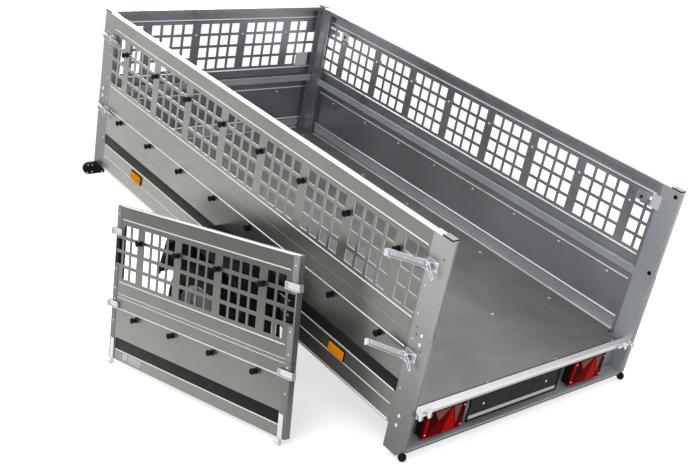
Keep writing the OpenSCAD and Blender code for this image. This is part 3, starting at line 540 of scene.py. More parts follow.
MATERIALS = {}
WHITE = (1.0, 1.0, 1.0, 1.0)
STREAK = 0.06
PLASTIC_IOR, LENS_IOR = 1.3, 1.12  # low, so that the white surroundings lay no veil on the dark tones
SURFACE = [("Color", "NodeSocketColor"), ("Roughness", "NodeSocketFloat"), ("Height", "NodeSocketFloat")]


def zinc_group():
    """Zinc sheet: spangles, soft clouds, rolling streaks and a few fine scratches."""
    g, given, made = new_group("Zinc sheet", [
        ("Vector", "NodeSocketVector", None), ("Tint", "NodeSocketColor", (0.4, 0.4, 0.4, 1)),
        ("Roughness", "NodeSocketFloat", 0.36), ("Spangle", "NodeSocketFloat", 0.08),
        ("Cloud", "NodeSocketFloat", 0.16), ("Streak", "NodeSocketFloat", STREAK),
        ("Dents", "NodeSocketFloat", 0.0), ("Painted shade axis", "NodeSocketVector", (0.0, 0.43, 0.0)),
        ("Painted shade offset", "NodeSocketFloat", 0.5), ("Painted shade start", "NodeSocketFloat", 1.0),
        ("Painted shade span", "NodeSocketFloat", 0.0)], SURFACE)
    at = given.outputs["Vector"]
    flake = g.node("ShaderNodeSeparateColor", {"Color": g.cells(at, 95.0, 1.0).outputs["Color"]})
    spangle = g.maths("SUBTRACT", flake.outputs[0], 0.5)
    cloud = g.maths("SUBTRACT", g.noise(at, 2.6, 4.0, 0.55, 0.6), 0.5)
    streak = g.maths("SUBTRACT", g.noise(g.stretched(at, (30.0, 1.6, 150.0)), 2.2, 3.0), 0.5)
    scratch = g.spread(g.noise(g.stretched(at, (14.0, 5.0, 420.0)), 3.0, 2.0), 0.66, 0.74, 0.0, 1.0)
    sum1 = g.maths("MULTIPLY_ADD", spangle, given.outputs["Spangle"], 1.0)
    sum2 = g.maths("MULTIPLY_ADD", cloud, given.outputs["Cloud"], sum1)
    sum3 = g.maths("MULTIPLY_ADD", streak, given.outputs["Streak"], sum2)
    shade = g.maths("MULTIPLY_ADD", scratch, 0.05, sum3)
    # painted shade: the colour grows darker or lighter along the axis, standing for how the light falls
    along = g.node("ShaderNodeVectorMath", {0: at, 1: given.outputs["Painted shade axis"]}, operation="DOT_PRODUCT")
    painted_shade = g.maths("ADD", along.outputs["Value"], given.outputs["Painted shade offset"], clamp=True)
    painted_shade = g.maths("MULTIPLY_ADD", painted_shade, given.outputs["Painted shade span"], given.outputs["Painted shade start"])
    shade = g.maths("MULTIPLY", shade, painted_shade)
    g.link(g.shaded(given.outputs["Tint"], shade), made.inputs["Color"])
    rough = g.maths("MULTIPLY_ADD", cloud, 0.30, given.outputs["Roughness"])
    rough = g.maths("MULTIPLY_ADD", streak, given.outputs["Streak"], rough, clamp=True)
    g.link(rough, made.inputs["Roughness"])
    dent = g.noise(g.stretched(at, (3.0, 1.4, 7.0)), 1.6, 2.0)
    g.link(g.maths("MULTIPLY", dent, given.outputs["Dents"]), made.inputs["Height"])
    return g.tree


def moulded_group():
    """Moulded plastic or rubber: fine grain, faint clouds and dust in places."""
    g, given, made = new_group("Moulded surface", [
        ("Vector", "NodeSocketVector", None), ("Tint", "NodeSocketColor", (0.02, 0.02, 0.02, 1)),
        ("Roughness", "NodeSocketFloat", 0.45), ("Grain", "NodeSocketFloat", 0.4),
        ("Dust", "NodeSocketFloat", 0.15), ("Dust tint", "NodeSocketColor", (0.20, 0.18, 0.16, 1))], SURFACE)
    at = given.outputs["Vector"]
    grain = g.noise(at, 900.0, 2.0)
    cloud = g.noise(at, 7.0, 4.0, 0.6)
    patch = g.spread(g.noise(at, 16.0, 5.0, 0.65), 0.45, 0.75, 0.0, 1.0)
    upward = g.node("ShaderNodeSeparateXYZ", {0: g.node("ShaderNodeNewGeometry").outputs["Normal"]})
    lying = g.spread(upward.outputs["Z"], -0.1, 1.0, 0.35, 1.0)
    dust = g.maths("MULTIPLY", g.maths("MULTIPLY", patch, lying), given.outputs["Dust"], clamp=True)
    g.link(g.mixed(dust, given.outputs["Tint"], given.outputs["Dust tint"]), made.inputs["Color"])
    rough = g.maths("MULTIPLY_ADD", g.maths("SUBTRACT", cloud, 0.5), 0.18, given.outputs["Roughness"])
    g.link(g.maths("MULTIPLY_ADD", dust, 0.3, rough, clamp=True), made.inputs["Roughness"])
    g.link(g.maths("MULTIPLY", grain, given.outputs["Grain"]), made.inputs["Height"])
    return g.tree


def film_group():
    """Film-faced plywood: pressed dot grid, drag marks, cloudy wear and pale scuffs."""
    g, given, made = new_group("Plywood film", [
        ("Vector", "NodeSocketVector", None), ("Tint", "NodeSocketColor", (0.13, 0.12, 0.11, 1)),
        ("Wear", "NodeSocketFloat", 0.4)], SURFACE)
    at = given.outputs["Vector"]
    grid = g.cells(at, 260.0, 0.0, distance="CHEBYCHEV")
    dots = g.spread(grid.outputs["Distance"], 0.30, 0.46, 1.0, 0.0)
    cloud = g.noise(at, 1.7, 5.0, 0.6, 0.8)
    drag = g.spread(g.noise(g.stretched(at, (26.0, 1.2, 26.0)), 2.5, 5.0, 0.6), 0.52, 0.78, 0.0, 1.0)
    scuff = g.spread(g.noise(at, 9.0, 6.0, 0.7, 1.2), 0.56, 0.74, 0.0, 1.0)
    worn = g.maths("MULTIPLY", g.maths("ADD", g.maths("MULTIPLY", drag, 0.55),
                                       g.maths("MULTIPLY", scuff, 0.45)), given.outputs["Wear"], clamp=True)
    shade = g.spread(cloud, 0.32, 0.68, 0.72, 1.32)
    shade = g.maths("MULTIPLY_ADD", dots, 0.10, shade)
    # painted light: the floor grows lighter towards the left (-X) and darker towards the right
    place = g.node("ShaderNodeSeparateXYZ", {0: at})
    shade = g.maths("MULTIPLY", shade, g.spread(place.outputs["X"], -0.50, 0.45, 1.45, 0.62))
    base = g.shaded(given.outputs["Tint"], shade)
    g.link(g.mixed(worn, base, (0.30, 0.285, 0.27, 1.0)), made.inputs["Color"])
    rough = g.spread(cloud, 0.2, 0.8, 0.30, 0.52)
    g.link(g.maths("MULTIPLY_ADD", worn, 0.25, rough, clamp=True), made.inputs["Roughness"])
    g.link(g.maths("MULTIPLY_ADD", dots, 0.6, g.maths("MULTIPLY", worn, 0.2)), made.inputs["Height"])
    return g.tree


def surface(name, tree, values, metallic=0.0, turn=0.0, bump=0.1, bump_distance=0.0004, coat=0.0,
            specular=0.5, ior=1.5):
    """A material whose colour, roughness and height come from one shader group."""
    material = bpy.data.materials.new(name)
    material.use_nodes = True
    g = Group(material.node_tree)
    place = g.node("ShaderNodeMapping", {"Vector": g.node("ShaderNodeTexCoord").outputs["Object"],
                                         "Rotation": (turn, 0.0, 0.0)})
    group = g.node("ShaderNodeGroup", node_tree=tree)
    g.link(place.outputs["Vector"], group.inputs["Vector"])
    for key, value in values.items():
        group.inputs[key].default_value = value
    relief = g.node("ShaderNodeBump", {"Strength": bump, "Distance": bump_distance,
                                       "Height": group.outputs["Height"]})
    shader = material.node_tree.nodes["Principled BSDF"]
    for key, value in (("Metallic", metallic), ("Coat Weight", coat), ("Coat Roughness", 0.12),
                       ("Specular IOR Level", specular), ("IOR", ior)):
        shader.inputs[key].default_value = value
    g.link(group.outputs["Color"], shader.inputs["Base Color"])
    g.link(group.outputs["Roughness"], shader.inputs["Roughness"])
    g.link(relief.outputs["Normal"], shader.inputs["Normal"])
    material.diffuse_color = values["Tint"]
    MATERIALS[name] = material


@step("Finishes")
def build_finishes():
    """Make the shader groups and every finish of the trailer."""
    zinc, moulded, film = zinc_group(), moulded_group(), film_group()
    # a painted shade gradient is an axis, an offset, and the shade at its start and over its span
    none = ((0, 0, 0), 0.5, 1.0, 0.0)
    along, tall, upward = (0, 0.43, 0), (0, 0, 1.136), (0, 0, 0.62)
    # painted shade: the outside zinc lighter towards the front, the inside darker towards the front, the tailgate
    # darker towards its top, the posts darker towards the bottom
    for name, rough, spangle, cloud, metallic, dents, painted_shade in (
            ("zinc_outside", 0.32, 0.02, 0.50, 0.84, 2.0, (along, 0.5, 0.70, 0.58)),
            ("zinc_inside", 0.32, 0.02, 0.46, 0.84, 2.0, (along, 0.5, 1.14, -0.40)),
            ("zinc_gate", 0.34, 0.02, 0.50, 0.84, 2.0, (upward, 0.5, 1.95, -1.40)),
            ("zinc_edge", 0.44, 0.02, 0.10, 0.80, 0.0, none),
            ("zinc_post", 0.34, 0.02, 0.60, 0.84, 3.0, (tall, -0.51, 0.42, 0.56)),
            ("zinc_ledge", 0.34, 0.02, 0.60, 0.20, 2.0, none),
            ("zinc_lip", 0.34, 0.01, 0.50, 0.30, 0.0, none),
            ("frame_zinc", 0.46, 0.10, 0.26, 0.80, 0.0, none),
            ("bright_zinc", 0.33, 0.02, 0.10, 0.88, 0.0, none)):
        surface(name, zinc, {
            "Tint": tone(name), "Roughness": rough, "Spangle": spangle, "Cloud": cloud, "Dents": dents,
            "Streak": 0.0 if name == "zinc_lip" else STREAK, "Painted shade axis": painted_shade[0], "Painted shade offset": painted_shade[1],
            "Painted shade start": painted_shade[2], "Painted shade span": painted_shade[3]}, metallic, -TILT, 0.35)
    surface("wheel_silver", zinc, {"Tint": tone("silver"), "Roughness": 0.34, "Spangle": 0.02, "Cloud": 0.10,
                                   "Streak": 0.0}, 0.55, bump=0.06, coat=0.3)
    for name, tint, rough, grain, dust in (
            ("black_plastic", "plastic", 0.44, 0.35, 0.02), ("guard_plastic", "plastic", 0.46, 0.5, 0.08),
            ("rubber", "rubber", 0.62, 0.5, 0.22), ("enamel", "enamel", 0.34, 0.2, 0.06),
            ("stripe_vinyl", "stripe", 0.44, 0.15, 0.05), ("label_film", "label", 0.42, 0.1, 0.05)):
        surface(name, moulded, {"Tint": tone(tint), "Roughness": rough, "Grain": grain, "Dust": dust},
                bump=0.12, specular=0.2, ior=PLASTIC_IOR)
    for name in ("lens_red", "lens_mid", "lens_dark", "lens_brown", "lens_amber"):
        surface(name, moulded, {"Tint": tone(name), "Roughness": 0.18, "Grain": 0.1, "Dust": 0.0},
                bump=0.04, specular=0.1, ior=LENS_IOR)
    surface("floor_film", film, {"Tint": tone("floor_film"), "Wear": 0.42}, turn=-TILT, bump=0.25,
            bump_distance=0.0005, coat=0.10)


def columns(count):
    """Places of that many ribs along a board, evenly about its middle."""
    return [(i - (count - 1) / 2) * RIB for i in range(count)]


def ridge(bm, half, z, matrix=None, slot=0, r=RIDGE_R):
    """A pressed ridge along X at height z, standing proud of a sheet on both of its faces."""
    turned(bm, [(0, -half - 6), (r * 0.5, -half - 3), (r * 0.85, -half + 2), (r, -half + 9),
                (r, half - 9), (r * 0.85, half - 2), (r * 0.5, half + 3), (0, half + 6)],
           (0, RIDGE_SUNK, z), "X", 20, slot, matrix)


# ---------------------------------------------------------------- the box
@step("Boards")
def build_boards():
    """Form the lower boards and the punched mesh boards."""
    finishes = "zinc_outside zinc_inside zinc_edge"
    look = faces_in(BOX)

    def skin_or_inside(at, up, level):
        """2 for what catches the light from above, 0 for the outer skins, 1 for the inside."""
        return 2 if up > level else 0 if abs(at.x) > SKIN - 1.0 or at.y > FRONT_SKIN - 1.0 else 1

    def in_or_out(face):
        at, way = look(face)
        return skin_or_inside(at, way.z, 0.35)

    for node in ("side_board_left", "side_board_right", "front_board", "mesh_side_left",
                 "mesh_side_right", "mesh_front"):
        formed(node, "box", finishes, sizes().edge / MM, choose=in_or_out)
    ridges = bmesh.new()
    turn_in = Matrix.Rotation(math.pi, 4, "Z")
    for z in LOW_RIDGES + HIGH_RIDGES:
        for side in (-1, 1):
            ridge(ridges, HALF_L - POST_SIDE - 12, z, on_side(side) @ turn_in)
        ridge(ridges, HALF_W - POST_THICK - 10, z, Matrix.Translation((0, FRONT_SKIN, 0)) @ turn_in)
    outward(ridges)
    # the upper faces of the ridges take the pale finish: a painted highlight
    for face in ridges.faces:
        face.material_index = skin_or_inside(face.calc_center_median(), face.normal.z, 0.12)
    finish_piece("board_ridges", ridges, BOX, "box", finishes)
    # strips inside the box at the board seam and low above the floor: folds of the boards, drawn upright, painted
    # paler for the light on them
    lips = bmesh.new()
    lip, skirt = (FOLD, 2, 0.2, 1.4, 1.2, 3), (SHEET, 20, 0.3, 0.8, 0.5, 2)
    for low, high, (depth, gap, sunk, proud, soft, segments) in (
            (SPLIT - SEAM - LIP_HEIGHT, SPLIT - SEAM, lip), (SPLIT + SEAM, SPLIT + SEAM + LIP_HEIGHT, lip),
            (FLOOR + 14, SKIRT_TOP, skirt)):
        along, across = HALF_L - POST_SIDE - gap, HALF_W - POST_THICK - gap
        x, y = depth - SKIN, FRONT_SKIN - depth
        for side in (-1, 1):
            block(lips, (x - sunk, -along, low), (x + proud, along, high), soft, 0, flipped(side), segments)
        block(lips, (-across, y - proud, low), (across, y + sunk, high), soft, segments=segments)
    outward(lips)
    finish_piece("board_lips", lips, BOX, "box", "zinc_lip")


@step("Corner posts")
def build_posts():
    """Form the corner posts with their caps, feet, plugs and fixings."""
    look = faces_in(BOX)

    # inner faces: the front posts take the inside zinc; the rear posts' inner faces take the paler zinc_lip,
    # painted light
    def inward(face):
        at, normal = look(face)
        across = normal.x * at.x < -0.5 * abs(at.x)
        if at.y > 0:
            return 1 if across or normal.y < -0.5 else 0
        return 2 if across else 0

    for corner in ("front_left", "front_right", "rear_left", "rear_right"):
        formed("corner_post_" + corner, "box", "zinc_post zinc_inside zinc_lip", 2.4, 3,
               choose=inward)
    caps, feet, fixings = bmesh.new(), bmesh.new(), bmesh.new()
    for sx in (-1, 1):
        for sy in (-1, 1):
            turn = Matrix.Diagonal((-sx, -sy, 1, 1)) @ Matrix.Translation((-HALF_W, -HALF_L, 0))
            wide, deep, top = POST_THICK, CAP_LENGTH, POST_TOP
            block(caps, (-0.6, 1.2, top + 0.2), (wide + 0.6, deep, top + 5), 1.6, 0, turn, 3)
            block(caps, (3, 5, top - 10), (wide - 3, deep - 3, top + 1), 0.8, 0, turn)
            block(caps, (1.4, 3.2, top + 4), (wide - 1.4, deep - 2, top + 6.4), 1.0, 2, turn)
            if sy < 0:
                block(caps, (wide - 6, -0.25, 6), (wide - 4.4, 0.3, top - 6), 0.1, 0, turn)
            # a rounded strip across the post's top, in the pale zinc: a painted highlight
            block(caps, (-0.4, deep + 0.5, top - 4), (wide - 1, POST_SIDE + 2, top + 3.4), 2.6, 1, turn, 3)
            bolts = POST_BOLTS
            if sy < 0:
                bolts += REAR_POST_BOLTS
                foot = 4 - POST_LOW
                turned(feet, [(0, 17), (9, 14.4), (14.4, 9), (17, 0), (14.4, -9), (9, -14.4), (0, -17)],
                       (POST_THICK / 2, 0, foot), "Z", 28, matrix=turn)
                rod(feet, (POST_THICK / 2, 12, foot + 12), "-Y", 9, 8, matrix=turn)
            for along, height, r in bolts:
                dome(fixings, (0, along, height), "-X", r, r * 0.62, matrix=turn)
            # black discs stand for the small holes: painted shade
            for along, height in POST_HOLES:
                rod(caps, (0.4, along, height), "-X", 3.2, 0.8, 0.2, 14, 0, turn)
            for height in POST_PLUGS:
                rod(caps, (POST_THICK - 0.5, 22, height), "X", 9, 3, 1.2, matrix=turn)
    finish_piece("post_caps_moulded", caps, BOX, "box", "black_plastic zinc_edge zinc_lip",
                 "post_caps")
    finish_piece("post_feet_moulded", feet, BOX, "box", "black_plastic", "post_feet")
    finish_piece("post_fixings", fixings, BOX, "box", "bright_zinc")


@step("Rivets and screws")
def build_fixings():
    """Set the rivets on the boards and the screws in the floor."""
    rivets = bmesh.new()
    r = sizes().rivet / MM
    for side in (-1, 1):
        move = flipped(side)
        for y in columns(KNOB_COLUMNS):
            for z in (KNOB_LOW, KNOB_HIGH):
                dome(rivets, (-SKIN + SHEET, y, z), "X", r * 1.5, r * 0.9, matrix=move)
        for z in (BOARD_LOW + 20, SPLIT - 9, SPLIT + 9):
            for y in columns(KNOB_COLUMNS + 1):
                dome(rivets, (-SKIN + FOLD, y, z), "X", r * 0.9, r * 0.5, matrix=move)
    for x in columns(FRONT_COLUMNS):
        for z in (KNOB_LOW, KNOB_HIGH):
            dome(rivets, (x, FRONT_SKIN - SHEET, z), "-Y", r * 1.5, r * 0.9)
    outward(rivets)
    finish_piece("board_rivets", rivets, BOX, "box", "bright_zinc")
    screws = bmesh.new()
    s = sizes().screw / MM
    for y in SCREW_YS:
        for x in SCREW_XS:
            dome(screws, (x, y, FLOOR), "Z", s, s * 0.35, 14)
        for side in (-1, 1):
            dome(screws, (side * EDGE_SCREW_X, y, FLOOR), "Z", s * 0.6, s * 0.3, 12)
    finish_piece("floor_screws", screws, BOX, "box", "bright_zinc")


def knob(bm, matrix):
    """A tie-down knob on a board: washer, necked stem and a dished head, along +Y."""
    head = sizes().knob / MM
    turned(bm, [(0, 0), (12.5, 0), (12.5, 3.0), (11.4, 4.4), (7.4, 5.0), (6.4, 6.5), (6.0, 13),
                (7.2, 15), (head - 1.0, 15.6), (head, 17), (head, 20.5), (head - 1.4, 22.6),
                (head - 4.2, 22.8), (head - 5.6, 20.4), (4.2, 19.6), (3.4, 21.0), (0, 21.2)],
           (0, 0, 0), "Y", 24, matrix=matrix)


@step("Tie-down knobs")
def build_knobs():
    """Turn the tie-down knobs of the box and the tailgate."""
    on_box, on_gate = bmesh.new(), bmesh.new()
    turn = Matrix.Rotation(math.pi, 4, "Z")
    for z in (KNOB_LOW, KNOB_HIGH):
        for side in (-1, 1):
            for x in columns(KNOB_COLUMNS):
                knob(on_box, on_side(side) @ Matrix.Translation((x, 0, z)))
        for x in columns(FRONT_COLUMNS):
            knob(on_box, Matrix.Translation((x, FRONT_SKIN, z)))
            knob(on_gate, turn @ Matrix.Translation((x, 0, z - GATE_LOW)))
    outward(on_box)
    finish_piece("side_and_front_knobs", on_box, BOX, "box", "black_plastic", "tie_knobs")
    finish_piece("tailgate_knobs", on_gate, GATE, "tailgate", "black_plastic", "gate_knobs")


@step("Floor")
def build_floor():
    """Lay the plywood floor with its angle strips and rear seal."""
    formed("floor_board", "box", "floor_film", 0.8)
    # faces of the angle strips that look up take the pale zinc: a painted highlight
    formed("floor_angles", "box", "zinc_inside zinc_edge", 0.6, choose=lit(BOX))
    seal = bmesh.new()
    block(seal, (-SEAL_HALF, 38.5 - HALF_L, FLOOR - 2), (SEAL_HALF, 47 - HALF_L, FLOOR + 4.5), 2.0,
          segments=3)
    finish_piece("floor_seal", seal, BOX, "box", "rubber")


@step("Chassis")
def build_chassis():
    """Form the chassis, the axle and the drawbar's hinge."""
    for node, soft in (("cross_members", 1.2), ("long_rails", 1.6), ("axle_beam", 3.0),
                       ("axle_mounts", 2.0), ("drawbar_hinge", 1.5), ("drawbar_catch", 1.5)):
        formed(node, "box", "frame_zinc", soft)


# ---------------------------------------------------------------- the rear end
@step("Rear sill and bar")
def build_rear():
    """Form the sill, the lamp bar and the pins for the tailgate."""
    # faces that look up take the paler finish: a painted highlight on the sill and painted light on the lamp bar's
    # ledge; the sill's other faces take the paler ledge zinc too
    formed("rear_sill", "box", "zinc_ledge zinc_edge", 1.2, choose=lit(BOX))
    formed("light_bar", "box", "frame_zinc zinc_ledge", 1.2, choose=lit(BOX))
    trim = bmesh.new()
    half = BAR_TRIM_HALF
    block(trim, (-half, 0.8 - HALF_L, -7.6), (half, 3 - HALF_L, -1.2), 0.6)
    for z in (-6.8, -4.8, -2.8):
        block(trim, (-half, -HALF_L - 0.2, z), (half, 1.4 - HALF_L, z + 0.9), 0.3, 1)
    finish_piece("light_bar_trim", trim, BOX, "box", "rubber frame_zinc")
    brackets, pins = bmesh.new(), bmesh.new()
    for side in (-1, 1):
        move = flipped(side)
        block(brackets, (BRACKET_X[0], -HALF_L - 4, BRACKET_Z[0]), (BRACKET_X[1], 3.7 - HALF_L, BRACKET_Z[1]),
              1.4, 0, move)
        for x in PIN_XS:
            y = -HALF_L - 4
            rod(pins, (x, y, PIN_Z), "-Y", 5, 13, matrix=move)
            turned(pins, [(0, 12), (10, 12), (10.5, 14), (9.6, 17.5), (7, 20), (3.6, 21.2), (0, 21.5)],
                   (x, y, PIN_Z), "-Y", 24, matrix=move)
            block(pins, (x - 1.1, y - 22.4, PIN_Z - 8), (x + 1.1, y - 19, PIN_Z + 8), 0.3, 1, move)
    finish_piece("sill_brackets_pressed", brackets, BOX, "box", "bright_zinc",
                 "sill_brackets")
    finish_piece("tailgate_pins", pins, BOX, "box", "bright_zinc enamel", "gate_pins")


FACET_THICK = 3.0


def facet(bm, points, depths, slot, matrix):
    """A lens facet: corner points across the lamp, each at its own depth, with a little body."""
    part = bmesh.new()
    face = part.faces.new([part.verts.new((x, d, z)) for (x, z), d in zip(points, depths)])
    raised = bmesh.ops.extrude_face_region(part, geom=[face])["geom"]
    moved = [v for v in raised if isinstance(v, bmesh.types.BMVert)]
    bmesh.ops.translate(part, vec=(0, FACET_THICK, 0), verts=moved)
    outward(part)
    soften(part, 0.5, 1, 20)
    join(bm, part, matrix, slot)


def tail_lamp(node, x):
    """One tail lamp: black housing, lens rim, faceted coloured fields and four screws."""
    bm = bmesh.new()
    move = Matrix.Translation((x, -HALF_L + 10, (LAMP_LOW + LAMP_HIGH) / 2))
    w, h = LAMP_HALF, (LAMP_HIGH - LAMP_LOW) / 2
    block(bm, (-w + 1, 13, -h + 1), (w - 1, 46.5, h - 1), 4.0, 0, move, 3)
    block(bm, (-w, 5, -h), (w, 14, h), 2.2, 2, move, 3)
    block(bm, (-w + 0.5, 4.2, -h + 0.5), (w - 0.5, 8, -h + 5), 1.0, 1, move)
    block(bm, (w - 5, 4.2, -h + 0.5), (w - 0.5, 8, h - 0.5), 1.0, 2, move)

    def at(u, v):
        return (-w + 2 * w * u, -h + 2 * h * v)

    # each field: its corners as shares of the lamp's width and height, their depths, its finish
    fields = (
        (((0.02, 0.95), (0.10, 0.95), (0.07, 0.10), (0.02, 0.10)), (3.2, 3.2, 3.2, 3.2), 1),
        (((0.10, 0.95), (0.20, 0.95), (0.33, 0.56), (0.08, 0.12)), (4.0, 4.0, 2.0, 3.0), 3),
        (((0.20, 0.95), (0.60, 0.95), (0.33, 0.56)), (2.6, 2.6, 3.4), 4),
        # the raised triangle's left half is the darker red lens_mid and its right half the bright lens_red:
        # painted shade on one facet of the same red lens
        (((0.06, 0.05), (0.46, 0.05), (0.635, 0.96)), (3.4, -0.4, 3.0), 2),
        (((0.46, 0.05), (0.82, 0.05), (0.635, 0.96)), (-0.4, 3.4, 3.0), 1),
        (((0.67, 0.95), (0.86, 0.95), (0.82, 0.20)), (3.0, 2.2, 3.4), 4),
        (((0.86, 0.95), (0.965, 0.95), (0.965, 0.55), (0.82, 0.20)), (2.2, 3.6, 3.6, 3.4), 3),
        (((0.83, 0.05), (0.965, 0.05), (0.965, 0.50), (0.83, 0.16)), (3.4, 3.4, 3.4, 3.4), 2),
    )
    for points, depths, slot in fields:
        facet(bm, [at(u, v) for u, v in points], depths, slot, move)
    for u, v in ((0.085, 0.86), (0.05, 0.16), (0.945, 0.87), (0.945, 0.12)):
        px, pz = at(u, v)
        dome(bm, (px, 3.0, pz), "-Y", 3.6, 2.2, 12, 5, move)
    finish_piece(node + "_built", bm, BOX, "box",
                 "black_plastic lens_red lens_mid lens_dark lens_brown bright_zinc", node, 20)


@step("Lamps and reflectors")
def build_lamps():
    """Build the tail lamps, plate board, side reflectors and front position lamps."""
    for word, x in TAIL_LAMP_XS:
        tail_lamp("tail_lamp_" + word, x)
    plate = bmesh.new()
    (left, right), (low, high), rear = PLATE_X, PLATE_Z, -HALF_L
    block(plate, (left, rear + 6, low), (right, rear + 10, high), 1.2)
    for x0, x1, z0, z1 in ((left, right, low, low + 7), (left, right, high - 6, high),
                           (left, left + 6, low, high), (right - 6, right, low, high)):
        block(plate, (x0, rear + 2.6, z0), (x1, rear + 7, z1), 1.2)
    block(plate, (left + 10, rear + 4.8, low + 10), (right - 10, rear + 7, low + 26), 0.5, 1)
    for x in (left + 80, right - 80):
        dome(plate, (x, rear + 6, 100), "-Y", 5, 2.4, 14, 2)
    finish_piece("plate_board_moulded", plate, BOX, "box", "black_plastic label_film bright_zinc",
                 "number_plate_board")
    amber = bmesh.new()
    for side in (-1, 1):
        move = on_side(side)
        for x in (-REFLECTOR_X, REFLECTOR_X):
            block(amber, (x - 48.5, 0, 158), (x + 48.5, 4, 202), 1.5, 1, move)
            block(amber, (x - 45.5, 3, 161), (x + 45.5, 9, 199), 2.5, 0, move, 3)
            for k in range(7):
                u = x - 36 + 12 * k
                block(amber, (u - 2.2, 8.2, 165), (u + 2.2, 10, 195), 0.8, 0, move)
    outward(amber)
    finish_piece("side_reflectors_moulded", amber, BOX, "box", "lens_amber black_plastic",
                 "side_reflectors")
    lamps = bmesh.new()
    for side in (-1, 1):
        move = flipped(side) @ Matrix.Translation((-HALF_W, HALF_L, POSITION_LAMP_Z))
        r = 32.0
        outline = [(55, -r), (55, r)] + [(-30 + r * math.cos(a), r * math.sin(a)) for a in
                                         (math.radians(90 + 15 * k) for k in range(13))]
        face = Matrix.Rotation(math.pi / 2, 4, "X")
        prism(lamps, outline, 1, 20, 3.0, 0, move @ face, segments=3)
        turned(lamps, [(0, 0), (29, 0), (29, 10), (26, 15), (18, 18), (0, 19)], (-30, 0, 0), "Y", 32, 1,
               move)
        for px, pz in ((-40, 20), (-18, 20), (-42, -20), (-16, -18), (40, 22), (38, -22)):
            dome(lamps, (px, -20, pz), "-Y", 3.6, 2.2, 10, 2, move)
    outward(lamps)
    finish_piece("position_lamps_built", lamps, BOX, "box", "black_plastic label_film bright_zinc",
                 "position_lamps")


# ---------------------------------------------------------------- latches
def channel(bm, low, high, wall, soft=0.8, slot=0, matrix=None):
    """A folded channel between two corners, open towards -X: a web and two flanges."""
    (x0, y0, z0), (x1, y1, z1) = low, high
    block(bm, (x1 - wall, y0, z0), (x1, y1, z1), soft, slot, matrix)
    block(bm, (x0, y0, z1 - wall), (x1, y1, z1), soft, slot, matrix)
    block(bm, (x0, y0, z0), (x1, y1, z0 + wall), soft, slot, matrix)


def latch_base(bm, matrix):
    """Base plate with two upright ears and a cross pin, on the left side of a post."""
    block(bm, (-3, 34, -20), (0, 88, 20), 0.8, 0, matrix)
    for z in (-17, 14):
        prism(bm, [(0, 40), (-26, 56), (-28, 84), (0, 94)], z, z + 3, 0.6, 0, matrix)
    rod(bm, (-16, 74, -20), "Z", 4.0, 40, 0.8, 16, 0, matrix)
    for y, z in ((42, 12), (42, -12)):
        dome(bm, (-3, y, z), "-X", 4.2, 2.4, 12, 0, matrix)


@step("Toggle latches")
def build_latches():
    """Build the open rear latches and the closed front ones."""
    rear, front = bmesh.new(), bmesh.new()
    for side in (-1, 1):
        base = flipped(side)
        for z in LATCH_ZS:
            move = base @ Matrix.Translation((-HALF_W, -HALF_L, z))
            latch_base(rear, move)
            lever = (move @ Matrix.Translation((-16, 74, 0))
                     @ Matrix.Rotation(LEVER_DROP, 4, "X")
                     @ Matrix.Rotation(LEVER_SWING, 4, "Z"))
            channel(rear, (-9, -10, -13), (2, 150, 13), 1.8, 0.7, 0, lever)
            block(rear, (-3.2, 8, -10.4), (-0.4, 140, 10.4), 0.4, 1, lever)
            prism(rear, [(-9, 150), (2, 150), (0, 160), (-14, 166), (-15, 163), (-6, 157)], -13, 13, 0.6,
                  0, lever)
            for y in (24, 84, 128):
                dome(rear, (-9.0, y, 0), "-X", 3.4, 2.0, 12, 0, lever @ Matrix.Translation((6, 0, 0)))
            for lift in (-9, 9):
                wire(rear, [(-18, 80, lift), (-22, 66, lift), (-22, 54, lift - 8), (-20, 44, lift - 26),
                            (-19, 36, lift - 36)], 2.2, 10, 0, move)
            wire(rear, [(-19, 36, -45), (-19, 33, -40), (-19, 33, -32), (-19, 36, -27)], 2.2, 10, 0, move)
            move = base @ Matrix.Diagonal((1, -1, 1, 1)) @ Matrix.Translation((-HALF_W, -HALF_L, z))
            latch_base(front, move @ Matrix.Translation((0, 26, 0)))
            arm = move @ Matrix.Translation((-16, 100, 0))
            channel(front, (-6, -84, -12), (4, 66, 12), 1.8, 0.7, 0, arm)
            block(front, (-0.6, -78, -9.6), (2, 60, 9.6), 0.4, 1, arm)
            for lift in (-10, 10):
                wire(front, [(-15, 92, lift), (-14, 50, lift), (-12, 8, lift), (-8, -4, lift), (0, -7, lift),
                             (14, -7, lift)], 2.4, 10, 0, move)
            wire(front, [(14, -7, -10), (17, -7, -6), (17, -7, 6), (14, -7, 10)], 2.4, 10, 0, move)
            block(front, (4, -9, -14), (26, -0.3, 14), 1.2, 0, move)
    for name, bm in (("rear_latches", rear), ("front_latches", front)):
        outward(bm)
        finish_piece(name + "_built", bm, BOX, "box", "bright_zinc frame_zinc", name)


